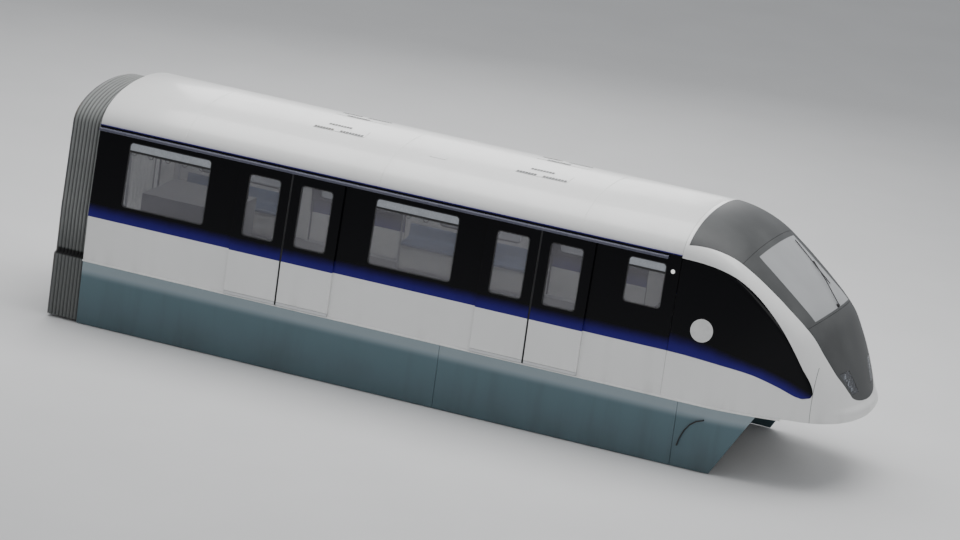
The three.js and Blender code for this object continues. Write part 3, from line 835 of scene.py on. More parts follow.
def makeHeadlamps():
    for name, sign in sides.items():
        gap, gapAngle = headlamp["lensGap"]
        ends = sorted((sign * (cab["lampNear"] + gap), sign * (cab["lampFar"] - gap)))
        across = span(*ends, 10)
        angles = span(cab["lampLow"] + gapAngle, cab["lampHigh"] - gapAngle, 12)
        front = [[maskPoint(a, t) for t in across] for a in angles]
        Form().sheet(front).piece(f"headlampLens.{name}", "lens", shell=0.006, edge=0.002, closed=False,
                                  replaces=[f"headlamp_{name}"], slot="lamp_lens")
        # the housing behind the lens, with three round units
        back = [[point + Vector((-headlamp["deep"], 0, 0)) for point in row] for row in front]
        rim = [point + Vector((headlamp["wall"], 0, 0)) for point in border(back)]
        form = Form().sheet(back).sheet([rim, border(back)])
        for share in headlamp["units"]:
            middle = maskPoint(angles[0] + (angles[-1] - angles[0]) * share, (across[0] + across[-1]) / 2)
            base = middle + Vector((-headlamp["unitDeep"], 0, 0))
            form.turned(headlamp["cup"], base, (1, 0, 0), 28, mark=1)
            form.turned(headlamp["light"], base, (1, 0, 0), 16, mark=2)
        form.piece(f"headlampUnit.{name}", ["rubber", "mirror", "led"], closed=False)


makeCabShell()
makeCabGlass()
makeMask()
makeHeadlamps()
print("cab made")


# Body sides, with each doorway and window cut through

side = {
    "doorCentres": {"rear": -2.08, "front": 1.93},
    "doorwayHalf": 0.80,
    "doorwayTop": 2.11,
    "floorTop": 0.40,
    "windowRound": 0.06,
    "windows": {name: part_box(f"window_{name}_left") for name in ("rear", "middle", "cab_end")},
    "hopper": 0.135,
    "seal": 0.012,
    "sealRound": 0.05,
    "paneGap": 0.002,
    "paneRound": 0.03,
    "hopperGap": 0.004,
    "hopperRound": 0.02,
    # foot and head of the bar under the hopper, from the line between hopper and pane
    "bar": (-0.022, 0.010),
    "barGap": 0.005,
    # back and front of flat pieces, out from the body side
    "paneDepth": (-0.016, -0.006),
    "hopperDepth": (-0.018, -0.004),
    "sealDepth": (-0.014, 0.003),
    "barDepth": (-0.020, 0.002),
}


def onSide(sign, near, far):
    # places plate points (x, z) on a body side, between two distances out from its face
    return lambda u, v, depth: Vector((u, sign * (sideHalf(v) + near + (far - near) * depth), v))


def addRise(made, foot):
    # the height above the band's lower edge, which the glazing's stripe reads
    mesh = made.data
    rise = mesh.attributes.new("rise", "FLOAT", "POINT")
    rise.data.foreach_set("value", [vertex.co.z - foot for vertex in mesh.vertices])


def makeSide(name, sign):
    rear, front = car["rear"], car["cabStart"] - car["cabJoint"]
    low, waist, top = car["bottom"], car["waist"], car["roofEdge"]
    half, centres = side["doorwayHalf"], sorted(side["doorCentres"].values(), reverse=True)

    def doorways(end):
        # the outline's corners at each doorway, cut from the waist up or down to its end, from front to rear
        turns = ((half, waist), (half, end), (-half, end), (-half, waist))
        return [(centre + x, z) for centre in centres for x, z in turns]

    # the white panel runs under the doorways and stands between them
    outline = [(rear, low), (front, low), (front, waist), *doorways(side["floorTop"]), (rear, waist)]
    form = Form().slab(outline, [], onSide(sign, -car["wall"], 0), 0, 1)
    form.piece(f"sidePanel.{name}", ["white", "lining"], edge=0.006, replaces=[f"side_panel_{name}"],
               slot="white_paint")

    # the glazed band
    outline = [(rear, waist), (rear, top), (front, top), (front, waist), *doorways(side["doorwayTop"])]
    holes = [roundedBox(a.x, b.x, a.z, b.z, side["windowRound"]) for a, b in side["windows"].values()]
    form = Form().slab(outline, holes, onSide(sign, -car["wall"], 0), 0, 1)
    band = form.piece(f"windowBand.{name}", ["black", "lining"], edge=0.004, replaces=[f"window_band_{name}"],
                      slot="black_glazing")
    addRise(band, waist)

    # panes, with a frosted hopper along the top and a rubber seal round the edge
    for key, (a, b) in side["windows"].items():
        split = b.z - side["hopper"]
        gap = side["paneGap"]
        outline = roundedBox(a.x + gap, b.x - gap, a.z + gap, split - 0.01, side["paneRound"])
        form = Form().slab(outline, [], onSide(sign, *side["paneDepth"]))
        form.piece(f"pane.{key}.{name}", "glass", edge=0.002, replaces=[f"window_{key}_{name}"],
                   slot="tinted_glass")
        gap = side["hopperGap"]
        outline = roundedBox(a.x + gap, b.x - gap, split + 0.008, b.z - gap, side["hopperRound"])
        form = Form().slab(outline, [], onSide(sign, *side["hopperDepth"]))
        form.piece(f"hopper.{key}.{name}", "frosted", edge=0.003, slot="tinted_glass")
        ring, hole = [roundedBox(a.x + inset, b.x - inset, a.z + inset, b.z - inset, corner)
                      for inset, corner in ((-0.001, side["windowRound"]), (side["seal"], side["sealRound"]))]
        foot, head = side["bar"]
        bar = rectangle(a.x + side["barGap"], b.x - side["barGap"], split + foot, split + head)
        form = Form().slab(ring, [hole], onSide(sign, *side["sealDepth"]))
        form.slab(bar, [], onSide(sign, *side["barDepth"]))
        form.piece(f"windowSeal.{key}.{name}", "rubber", edge=0.002)


for name, sign in sides.items():
    makeSide(name, sign)
print("sides made")


# Roof

roof = {
    "gutter": [(0.0, -0.012), (0.020, -0.008), (0.024, 0.004), (0.016, 0.004), (0.012, -0.002),
               (0.0, -0.002)],
    # each hatch: middle, half length, distance of its inner and outer edge from the centre line
    "hatches": [(-1.79, 0.42, 0.32, 0.60), (1.50, 0.42, 0.32, 0.60), (-0.11, 0.13, 0.64, 0.74)],
    "hatchLift": 0.006,
    "louvreRise": 0.004,
    "louvrePitch": 0.046,
    "louvreWidth": 0.030,
    # louvre rows on the long hatches: start and end as shares of the half length, and the edge they follow
    "louvreRows": [(-0.96, -0.20, "outer"), (0.04, 0.96, "outer"), (-0.60, 0.30, "inner")],
    "longHatches": 2,
    "louvreShare": 0.8,
    "hatchFoot": -0.004,
    "seams": [-3.9, -0.72, 2.5],
    # shallow groove at each seam: place from the seam, and rise
    "groove": [(-0.006, 0.0), (-0.003, -0.005), (0.003, -0.005), (0.006, 0.0)],
    "ceilingDrop": 0.055,
}


def roofPoint(x, w, sign, lift=0.0):
    reach, half = section(90, w)
    if not lift:
        return Vector((x, sign * half, cabZ + reach))
    ahead, behind = section(90, min(w + 0.01, 2.0)), section(90, w - 0.01)
    run = Vector((0, sign * (ahead[1] - behind[1]), ahead[0] - behind[0])).normalized()
    out = Vector((0, run.z * sign, -run.y * sign))
    return Vector((x, sign * half, cabZ + reach)) + out * lift


def makeRoof():
    rear, front = car["rear"], car["cabStart"] - car["cabJoint"]
    across = [(w, -1) for w in span(1.0, 2.0, 36)] + [(w, 1) for w in span(2.0, 1.0, 36)[1:]]
    # outer skin, turned down at both ends
    places = [(rear, -0.006), (rear + 0.012, 0.0)]
    places += [(x + step, rise) for x in roof["seams"] for step, rise in roof["groove"]]
    places += [(front - 0.006, 0.0), (front, -0.003)]
    rows = [[roofPoint(x, w, sign, lift) for w, sign in across] for x, lift in places]
    Form().sheet(rows, flip=True).piece("roofSkin", "white", shell=0.012, edge=0.002, smooth=60,
                                        closed=False, replaces=["roof"], slot="white_paint")
    # ceiling below it
    rows = [[roofPoint(x, w, sign, -roof["ceilingDrop"]) for w, sign in across] for x in (rear + 0.01, front)]
    Form().sheet(rows).piece("ceiling", "lining", shell=0.004, closed=False)
    # gutters along both roof edges, over the rail that the doors hang from
    for name, sign in sides.items():
        half, z = car["roofEdgeHalf"], car["roofEdge"]
        rows = [[Vector((x, sign * (half + out), z + up)) for out, up in roof["gutter"]]
                for x in (rear, front)]
        Form().bar(rows).piece(f"roofGutter.{name}", "black", edge=0.002)


def makeHatches():
    lift, pitch, wide = roof["hatchLift"], roof["louvrePitch"], roof["louvreWidth"]
    raised = lift + roof["louvreRise"]
    for number, (x, halfLength, near, far) in enumerate(roof["hatches"]):
        # the section places that bound the hatch
        inner, outer = [solve(lambda w: section(90, w)[1] - y, 1.0, 2.0) for y in (near, far)]
        for name, sign in sides.items():
            places = span(outer, inner, 10)
            stops = span(x - halfLength, x + halfLength, 4)
            lid = [[roofPoint(at, w, sign, lift) for w in places] for at in stops]
            foot = [[roofPoint(at, w, sign, roof["hatchFoot"]) for w in places] for at in stops]
            form = Form().sheet(lid).sheet([border(lid), border(foot)]).sheet(foot)
            for start, end, edge in roof["louvreRows"] if number < roof["longHatches"] else []:
                w0, w1 = (outer, outer + wide) if edge == "outer" else (inner - wide, inner)
                count = round((end - start) * halfLength / pitch)
                for a in span(x + start * halfLength, x + end * halfLength, count)[:-1]:
                    b = a + pitch * roof["louvreShare"]
                    form.sheet([[roofPoint(at, w, sign, up) for w in (w0, w1)] for at, up in
                                ((a, lift - 0.001), (a, raised), (b, raised), (b, lift - 0.001))], mark=1)
            form.piece(f"roofHatch.{number}.{name}", ["white", "steel"], edge=0.003)


makeRoof()
makeHatches()
print("roof made")


# Doors: each leaf hangs outside the body side and slides along it

door = {
    "leaf": 0.85,
    "meeting": 0.002,
    "clear": 0.005,
    "thick": 0.04,
    "bottom": 0.165,
    "top": 2.19,
    "margin": 0.16,
    "paneBottom": 1.10,
    "paneTop": 2.06,
    "paneRound": 0.06,
    "paneRim": 0.014,
    "rimRound": 0.05,
    "noseInset": 0.004,
    "rimInset": 0.006,
    "nose": 0.012,
    "kick": 0.05,
    "railOut": 0.05,
    "railBottom": 2.1905,
    "railTop": 2.24,
    "railFront": 3.9,
    "paneDepth": (-0.024, -0.012),
    "stepDepth": (-0.16, 0.0),
    "frameDepth": (-0.03, 0.002),
    "frameRim": 0.018,
}


def makeLeaf(key, name, sign, leaf, way):
    centre = side["doorCentres"][key]
    body = f"door_{key}_{name}_{leaf}_body"
    near, far = door["clear"], door["clear"] + door["thick"]
    waist, bottom, top = car["waist"], door["bottom"], door["top"]
    meeting = centre + way * door["meeting"]
    nose = meeting + way * door["nose"]
    outer = centre + way * door["leaf"]
    x0, x1 = sorted((nose, outer))
    low, high = sorted((meeting, outer))
    hole = roundedBox(low + door["margin"], high - door["margin"], door["paneBottom"], door["paneTop"],
                      door["paneRound"])
    form = Form().slab(rectangle(x0, x1, bottom + door["kick"], waist), [], onSide(sign, near, far), 0)
    form.slab(rectangle(x0, x1, waist, top), [hole], onSide(sign, near, far), 1)
    plate = form.piece(f"doorLeaf.{key}.{name}.{leaf}", ["white", "black"], body, edge=0.004,
                       replaces=[f"door_{key}_{name}_{leaf}"], slot="white_paint")
    addRise(plate, waist)
    # rubber nose along the meeting edge, seal round the pane, kick plate along the foot
    edges, inset = sorted((meeting, nose)), door["noseInset"]
    place = onSide(sign, near + inset, far - inset)
    form = Form().slab(rectangle(*edges, bottom, waist), [], place)
    form.slab(rectangle(*edges, waist, top), [], place)
    rim = door["paneRim"]
    ends = low + door["margin"] + rim, high - door["margin"] - rim
    inner = roundedBox(*ends, door["paneBottom"] + rim, door["paneTop"] - rim, door["rimRound"])
    form.slab(hole, [inner], onSide(sign, near + door["rimInset"], far))
    form.piece(f"doorRubber.{key}.{name}.{leaf}", "rubber", body, edge=0.003)
    kick = rectangle(x0, x1, bottom, bottom + door["kick"] - 0.002)
    form = Form().slab(kick, [], onSide(sign, near, far))
    form.piece(f"doorKickPlate.{key}.{name}.{leaf}", "metal", body, edge=0.003)
    back, front = door["paneDepth"]
    form = Form().slab(inner, [], onSide(sign, far + back, far + front))
    form.piece(f"doorPane.{key}.{name}.{leaf}", "glass", body)


def makeRail(name, sign):
    # the rail above the doors, with a drip edge
    low, high, out = door["railBottom"], door["railTop"], door["railOut"]
    profile = [(-0.001, low), (out - 0.006, low), (out, low + 0.006), (out, high - 0.014),
               (out - 0.014, high), (-0.001, high)]
    ends = (car["rear"], door["railFront"])
    rows = [[Vector((x, sign * (sideHalf(z) + y), z)) for y, z in profile] for x in ends]
    Form().bar(rows).piece(f"doorRail.{name}", "trim", edge=0.002)


def makeThresholds(key, name, sign):
    # the step edge under each doorway, and a rubber frame round the opening
    centre = side["doorCentres"][key]
    half, top, floorTop = side["doorwayHalf"], side["doorwayTop"], side["floorTop"]
    outline = rectangle(centre - half + 0.002, centre + half - 0.002, floorTop - 0.012, floorTop + 0.006)
    form = Form().slab(outline, [], onSide(sign, *door["stepDepth"]))
    form.piece(f"doorStep.{key}.{name}", "metal", edge=0.002)
    form = Form()
    waist, rim, place = car["waist"], door["frameRim"], onSide(sign, *door["frameDepth"])
    for x0, x1 in ((centre - half, centre - half + rim), (centre + half - rim, centre + half)):
        form.slab(rectangle(x0, x1, floorTop + 0.006, waist), [], place)
        form.slab(rectangle(x0, x1, waist, top), [], place)
    form.slab(rectangle(centre - half, centre + half, top - rim, top), [], place)
    form.piece(f"doorFrame.{key}.{name}", "rubber", edge=0.002)


for name, sign in sides.items():
    makeRail(name, sign)
    for key in side["doorCentres"]:
        makeThresholds(key, name, sign)
        for leaf, way in (("a", -1), ("b", 1)):
            makeLeaf(key, name, sign, leaf, way)
print("doors made")


# Skirts, with the ledge along their top

skirt = {
    "bottom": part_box("skirt_left")[0].z,
    "top": car["bottom"] - 0.0005,
    "thick": 0.03,
    "footHalf": 1.515,
    "seams": [0.6],
    "frontSeam": 4.38,
    "frontTop": 5.56,
    "frontFoot": 4.99,
    "gap": 0.004,
    "boltRadius": 0.009,
    "boltPitch": 0.6,
    "boltInset": 0.06,
    "boltLow": 0.05,
    "boltHigh": 0.10,
    "frontBoltsLow": [4.45, 4.92],
    "frontBoltsHigh": [4.45, 4.75, 5.05],
    "ribDeep": 0.028,
    "ribHalf": 0.02,
    # foot and head of the ribs, from the skirt's foot and top
    "ribEnds": (0.04, 0.03),
    "handleOut": 0.030,
    "handleRadius": 0.011,
    "handle": [(4.46, -0.52), (4.49, -0.40), (4.545, -0.27), (4.62, -0.165), (4.71, -0.095), (4.81, -0.06)],
    "ledge": 0.026,
    "ledgeFront": 5.9,
}


def skirtHalf(x, z):
    share = max(0.0, x - cabX) / section(0, 1)[0]
    fall = (car["waistHalf"] - skirt["footHalf"]) * (skirt["top"] - z) / (skirt["top"] - skirt["bottom"])
    return section(0, min(share, 1.0))[1] - fall


def onSkirt(x, z, sign, out=0.0):
    return Vector((x, sign * (skirtHalf(x, z) + out), z))


def makeSkirt(name, sign):
    gap = skirt["gap"] / 2
    low, top = skirt["bottom"], skirt["top"]
    edges = [car["rear"], *skirt["seams"], skirt["frontSeam"]]
    levels = span(low, top, 8)
    form = Form()
    for x0, x1 in zip(edges, edges[1:]):
        form.sheet([[onSkirt(x, z, sign) for z in levels] for x in span(x0 + gap, x1 - gap, 12)])
    form.piece(f"skirtPanels.{name}", "teal", shell=skirt["thick"], edge=0.005, closed=False,
               replaces=[f"skirt_{name}"], slot="teal_paint")
    start = skirt["frontSeam"] + gap
    rows = []
    for z in levels:
        share = (z - low) / (top - low)
        end = skirt["frontFoot"] + (skirt["frontTop"] - skirt["frontFoot"]) * share
        rows.append([onSkirt(x, z, sign) for x in span(start, end, 24)])
    Form().sheet(rows).piece(f"skirtFront.{name}", "teal", shell=skirt["thick"], edge=0.005, closed=False,
                             replaces=[f"skirt_front_{name}"], slot="teal_paint")

    # flush bolts along the upper and lower edges, and ribs behind the panels
    boltLow, boltHigh = low + skirt["boltLow"], top - skirt["boltHigh"]
    places = []
    ribs = Form()
    back, wide, (ribFoot, ribHead) = skirt["footHalf"] - skirt["thick"], skirt["ribHalf"], skirt["ribEnds"]
    for x0, x1 in zip(edges, edges[1:]):
        count = round((x1 - x0) / skirt["boltPitch"])
        for x in span(x0 + skirt["boltInset"], x1 - skirt["boltInset"], count):
            places += [(x, boltLow), (x, boltHigh)]
            ribs.box((x - wide, x + wide), (sign * (back - skirt["ribDeep"]), sign * back),
                     (low + ribFoot, top - ribHead))
    places += [(x, boltHigh) for x in skirt["frontBoltsHigh"]]
    places += [(x, boltLow) for x in skirt["frontBoltsLow"]]
    radius = skirt["boltRadius"]
    head = [(0.0, 0.0), (radius, 0.0), (radius, 0.002), (radius * 0.6, 0.004), (0.0, 0.004)]
    bolts = Form()
    for x, z in places:
        bolts.turned(head, onSkirt(x, z, sign, -0.001), (0, sign, 0), 12)
    bolts.piece(f"skirtBolts.{name}", "teal", smooth=30)
    ribs.piece(f"skirtRibs.{name}", "steel", edge=0.003)

    # the pull handle on the front panel, on two short feet
    line = skirt["handle"]
    first, last = [onSkirt(x, z, sign, -0.004) for x, z in (line[0], line[-1])]
    path = [first, *[onSkirt(x, z, sign, skirt["handleOut"]) for x, z in line], last]
    Form().rod(path, skirt["handleRadius"], 12).piece(f"skirtHandle.{name}", "rubber", smooth=60)

    # the ledge over the joint of skirt and body
    xs = [*span(car["rear"], cabX, 4)[:-1], *span(cabX, skirt["ledgeFront"], 40)]
    out = skirt["ledge"]
    profile = [(0.0, 0.136), (out - 0.004, 0.137), (out, 0.141), (out, 0.154), (0.004, 0.164), (0.0, 0.164)]
    rows = [[Vector((x, sign * (skirtHalf(x, skirt["top"]) + o - 0.002), z)) for o, z in profile] for x in xs]
    Form().bar(rows).piece(f"skirtLedge.{name}", "white", edge=0.0015)


for name, sign in sides.items():
    makeSkirt(name, sign)
print("skirts made")


# Gangway bellows and the end wall

bellows = {
    "rear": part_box("gangway_bellows")[0].x,
    "front": car["rear"] - 0.0005,
    "folds": 8,
    "depth": 0.030,
    "half": 1.425,
    "roofHalf": 1.340,
    "shoulder": 2.200,
    "rise": 0.480,
    "legOut": 0.070,
    "legTop": 0.150,
    "legInner": 1.200,
    "foot": -0.820,
    # passage: left and right edge, floor, head and corner radius
    "passage": (-0.85, 0.85, 0.40, 2.32, 0.25),
    "rearFrame": 0.022,
    "frontFrame": 0.02,
    "perFold": 10,
    "wave": 0.012,
    "plateHalf": 0.56,
    "rim": 0.03,
    "rimThick": 0.02,
}


def bellowsOutline(inset):
    # from the left leg's foot up and over to the right leg's foot
    half = bellows["half"] - inset
    leg = half + bellows["legOut"]
    top = bellows["legTop"]
    left = [(leg, z) for z in span(bellows["foot"], top - 0.03, 6)]
    left += [(leg - 0.004, top - 0.008), (leg - 0.02, top + 0.008)]
    left += [(half + 0.012, top + 0.018), (half, top + 0.04)]
    left += [(half, z) for z in span(top + 0.1, car["waist"], 5)]
    lean = half - (bellows["roofHalf"] - inset)
    left += [(half - lean * share, car["waist"] + (bellows["shoulder"] - car["waist"]) * share)
             for share in span(0, 1, 8)[1:-1]]
    over = arch(bellows["roofHalf"] - inset, bellows["shoulder"], bellows["rise"] - inset, 48)
    return [*left, *over, *[(-y, z) for y, z in left[::-1]]]


def acrossCar(x0, x1):
    return lambda u, v, depth: Vector((x0 + (x1 - x0) * depth, u, v))


def makeBellows():
    rear, front = bellows["rear"], bellows["front"]
    frameRear, frameFront = rear + bellows["rearFrame"], front - bellows["frontFrame"]
    inner, under, foot = bellows["legInner"], bellows["legTop"] - 0.03, bellows["foot"]
    innerLoop = [(-inner, foot), (-inner, under), (inner, under), (inner, foot)]
    perFold = bellows["perFold"]
    count = bellows["folds"] * perFold
    rows, crests = [], []
    for step in range(count + 1):
        crest = math.sin(math.pi * (step % perFold) / perFold) ** 0.7
        loop = [*bellowsOutline(bellows["depth"] * (1 - crest)), *innerLoop]
        x = frameRear + (frameFront - frameRear) * step / count
        rows.append([Vector((x, u, v)) for u, v in loop])
        crests.append([crest] * len(loop))
    form = Form().sheet(rows, values=crests, closed=True)
    form.piece("gangwayBellows", "bellows", smooth=80, values="crest", replaces=["gangway_bellows"],
               slot="bellows_rubber")

    # clamping frames at both ends, and the lining of the passage
    outline = [*bellowsOutline(bellows["depth"] * 0.6), *innerLoop]
    hole = roundedBox(*bellows["passage"])
    form = Form().slab(outline, [hole], acrossCar(rear, frameRear))
    form.slab(outline, [hole], acrossCar(frameFront, front))
    form.piece("gangwayFrames", "steel", edge=0.003)
    y0, y1, z0, z1, corner = bellows["passage"]
    rows = []
    for step in range(count + 1):
        wave = bellows["wave"] * (1 - abs(math.sin(math.pi * step / perFold)))
        x = rear + 0.01 + (front - rear - 0.02) * step / count
        loop = roundedBox(y0 - wave, y1 + wave, z0 - wave, z1 + wave, corner + wave)
        rows.append([Vector((x, u, v)) for u, v in loop])
    Form().sheet(rows, closed=True).piece("gangwayLining", "lining", smooth=80, shell=0.004)
    half = bellows["plateHalf"]
    form = Form().box((rear + 0.005, car["rear"] + 0.05), (-half, half), (z0 - 0.008, z0 + 0.005))
    form.piece("gangwayPlate", "metal", edge=0.002)


def makeEndWall():
    rear, wall = car["rear"], car["wall"]
    inset = wall + 0.001
    half, waist, bottom = car["waistHalf"] - inset, car["waist"], car["bottom"]
    rise = car["roofTop"] - car["roofEdge"] - inset
    outline = [(half, bottom), (half, waist), *arch(car["roofEdgeHalf"] - inset, car["roofEdge"], rise, 40),
               (-half, waist), (-half, bottom)]
    form = Form().slab(outline, [roundedBox(*bellows["passage"])], acrossCar(rear + wall, rear), 0, 1)
    form.piece("rearEndWall", ["white", "lining"], edge=0.004, replaces=["rear_end_wall"], slot="white_paint")
    # a padded rim round the passage
    y0, y1, z0, z1, corner = bellows["passage"]
    rim = bellows["rim"]
    outer = roundedBox(y0 - rim, y1 + rim, z0, z1 + rim, corner + rim)
    inner = roundedBox(y0 + 0.004, y1 - 0.004, z0 + 0.004, z1 - 0.004, corner)
    form = Form().slab(outer, [inner], acrossCar(rear + wall, rear + wall + bellows["rimThick"]))
    form.piece("passageRim", "rubber", edge=0.004)


makeBellows()
makeEndWall()
print("gangway made")


# Fittings on the cab

fitting = {
    # middle in side view, x and z, and radius
    "marker": (3.995, 2.015, 0.030),
    "markerRim": 0.010,
    "lensDepth": (-0.002, 0.010),
    "rimDepth": (-0.002, 0.006),
    "plate": (4.57, 1.25, 0.172),
    # share of the radius, and rise over the glass
    "plateRings": [(0.0, 0.006), (0.5, 0.006), (0.90, 0.006), (0.93, 0.0075), (0.98, 0.0075), (1.0, 0.0055),
                   (1.0, -0.002)],
    "noseSeam": 6.30,
    "noseSeamTop": 0.99,
    "noseSeamHalf": 0.0025,
    # place on the mask, and rise over it
    "wiperFoot": (36.4, 0.06, 0.030),
    "wiperTip": (54.0, 0.42, 0.028),
    "bladeRise": 0.012,
    "armRadius": 0.008,
    "armBend": 0.15,
    "elbow": 0.55,
    "elbowOut": (0.012, 0.0, 0.008),
    "bladeRadius": 0.007,
    # the blade from its middle: angle, and share of the mask's width
    "blade": [(-10, -0.05), (-5, -0.025), (0, 0.0), (5, 0.02), (10, 0.035)],
    "knuckle": [(0.0, 0.0), (0.030, 0.0), (0.026, 0.030), (0.016, 0.042), (0.0, 0.042)],
}


def sidePoint(x, z, sign, lift=0.0):
    # a point on the cab's side from its place in side view
    angle, reach = polar([(x, z)])[0]
    point = cabPoint(angle, atReach(angle, reach), sign)
    if not lift:
        return point
    run = sidePoint(x + 0.01, z, sign) - sidePoint(x - 0.01, z, sign)
    rise = sidePoint(x, z + 0.01, sign) - sidePoint(x, z - 0.01, sign)
    out = rise.cross(run).normalized() * sign
    return point + out * lift


def makeFittings(name, sign):
    # round bare plate on the side glass
    x, z, radius = fitting["plate"]
    rings = [[sidePoint(*point, sign, lift) for point in circle(x, z, radius * share, 48)]
             for share, lift in fitting["plateRings"]]
    form = Form().sheet(rings, closed=True)
    form.piece(f"roundPlate.{name}", "plate", closed=False, smooth=60)

    # marker light behind the cab's joint
    x, z, radius = fitting["marker"]
    outer, inner = [circle(x, z, r, 24) for r in (radius + fitting["markerRim"], radius)]
    form = Form().slab(inner, [], onSide(sign, *fitting["lensDepth"]))
    form.piece(f"markerLens.{name}", "marker", edge=0.004)
    form = Form().slab(outer, [inner], onSide(sign, *fitting["rimDepth"]))
    form.piece(f"markerRim.{name}", "rubber", edge=0.002)

    # the joint across the nose, from the mask down to the foot
    x, half = fitting["noseSeam"], fitting["noseSeamHalf"]
    heights = span(car["bottom"] + 0.004, fitting["noseSeamTop"], 40)
    rows = [[sidePoint(x + step, z, sign, 0.0008) for step in (-half, half)] for z in heights]
    Form().sheet(rows).piece(f"noseSeam.{name}", "rubber", closed=False)


def makeWiper():
    foot = maskPoint(*fitting["wiperFoot"])
    tip = maskPoint(*fitting["wiperTip"])
    elbow = foot + (tip - foot) * fitting["elbow"] + Vector(fitting["elbowOut"])
    bend = foot + (elbow - foot) * fitting["armBend"]
    form = Form().rod([foot, bend, elbow, tip], fitting["armRadius"], 8)
    base = maskPoint(*fitting["wiperFoot"][:2], -0.004)
    form.turned(fitting["knuckle"], base, foot - base, 20)
    form.piece("wiperArm", "rubber", smooth=50)
    angle, across, _ = fitting["wiperTip"]
    blade = [maskPoint(angle + step, across + lean, fitting["bladeRise"]) for step, lean in fitting["blade"]]
    Form().rod(blade, fitting["bladeRadius"], 8).piece("wiperBlade", "rubber", smooth=50)


for name, sign in sides.items():
    makeFittings(name, sign)
makeWiper()
print("fittings made")


# Inside: benches, poles, rails and lights

inside = {
    "benches": {"rear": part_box("bench_rear_left"), "middle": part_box("bench_middle_left")},
    "seatWidth": 0.46,
    "section": [(1.00, 0.79), (0.975, 0.80), (0.965, 0.825), (0.975, 0.848), (1.02, 0.855), (1.12, 0.842),
                (1.24, 0.838), (1.34, 0.846), (1.385, 0.866), (1.398, 0.91), (1.402, 1.0), (1.408, 1.045),
                (1.42, 1.058), (1.436, 1.052), (1.444, 1.0), (1.456, 0.82), (1.38, 0.80)],
    "perSeat": 8,
    "channel": 0.010,
    # the channel lies above this height, and in the backrest beyond this distance from the middle
    "channelFrom": 0.825,
    "backrest": 1.35,
    # inset from the bench's ends, range out from the middle and range of height
    "plinth": (0.01, (1.02, 1.38), (0.46, 0.80)),
    "plinthFoot": (0.02, (1.06, 1.38), (0.402, 0.462)),
    "poleRadius": 0.017,
    "poleSide": 0.965,
    "railSide": 0.98,
    "railHeight": 2.02,
    # rails along the ceiling, the straps on them and the lights: rear and front end
    "rails": [(-5.1, -3.0), (-1.15, 1.0), (2.85, 4.0)],
    "hangerRadius": 0.012,
    "straps": [(-4.9, -3.2), (-0.95, 0.8)],
    "strapRadius": 0.007,
    "strapFoot": 0.14,
    "handle": (0.045, 0.05),
    "handleDrop": 0.19,
    "lights": [(-4.9, -2.6), (-2.4, -0.1), (0.1, 2.4), (2.6, 3.9)],
    "lightSide": 0.55,
    "lightHalf": 0.06,
}


def makeBench(key, name, sign):
    low, high = inside["benches"][key]
    seats = round((high.x - low.x) / inside["seatWidth"])
    perSeat = inside["perSeat"]
    rows = []
    for step, x in enumerate(span(low.x, high.x, seats * perSeat)):
        dip = inside["channel"] * (1 - abs(math.sin(math.pi * step / perSeat)) ** 0.35)
        row = []
        for y, z in inside["section"]:
            # a channel between the seats: back along the backrest, down along the cushion
            depth = dip if z > inside["channelFrom"] else 0.0
            back, down = (depth, 0.0) if y > inside["backrest"] else (0.0, depth)
            row.append(Vector((x, sign * (y + back), z - down)))
        rows.append(row)
    Form().bar(rows).piece(f"benchShell.{key}.{name}", "seat", smooth=50,
                           replaces=[f"bench_{key}_{name}"], slot="seat_shell")
    form = Form()
    for inset, ys, zs in (inside["plinth"], inside["plinthFoot"]):
        form.box((low.x + inset, high.x - inset), [sign * y for y in ys], zs)
    form.piece(f"benchPlinth.{key}.{name}", "lining", edge=0.006)


def ceilingHeight(y):
    half, rise = car["roofEdgeHalf"] - car["wall"], car["roofTop"] - car["roofEdge"] - car["wall"]
    return car["roofEdge"] + rise * math.sqrt(1 - (y / half) ** 2)


def makeGrabRails(name, sign):
    form = Form()
    y, thick = inside["poleSide"], inside["poleRadius"]
    for low, high in inside["benches"].values():
        for x in (low.x + 0.03, high.x - 0.03):
            form.rod([(x, sign * y, side["floorTop"]), (x, sign * y, ceilingHeight(y))], thick, 12)
    y, z = inside["railSide"], inside["railHeight"]
    for start, end in inside["rails"]:
        form.rod([(start, sign * y, z), (end, sign * y, z)], thick, 12)
        for x in (start + 0.05, end - 0.05):
            form.rod([(x, sign * y, z), (x, sign * y, ceilingHeight(y))], inside["hangerRadius"])
    form.piece(f"grabRails.{name}", "metal", smooth=60)
    form = Form()
    thick, (wide, tall) = inside["strapRadius"], inside["handle"]
    turns = [math.tau * step / 12 for step in range(13)]
    for start, end in inside["straps"]:
        for x in span(start, end, 6):
            form.rod([(x, sign * y, z - 0.005), (x, sign * y, z - inside["strapFoot"])], thick, 6)
            form.rod([(x + wide * math.sin(turn), sign * y, z - inside["handleDrop"] + tall * math.cos(turn))
                      for turn in turns], thick, 6)
    form.piece(f"hangingStraps.{name}", "rubber", smooth=60)


def makeCeilingLights():
    form = Form()
    near, far = inside["lightSide"] - inside["lightHalf"], inside["lightSide"] + inside["lightHalf"]
    top = ceilingHeight(far)
    for sign in sides.values():
        for ends in inside["lights"]:
            form.box(ends, (sign * near, sign * far), (top - 0.03, top - 0.004))
    form.piece("ceilingLights", "ceilingLight", edge=0.004)


for name, sign in sides.items():
    for key in inside["benches"]:
        makeBench(key, name, sign)
    makeGrabRails(name, sign)
makeCeilingLights()
print("inside made")


# Wheels: one mesh for each kind, placed at every wheel of that kind

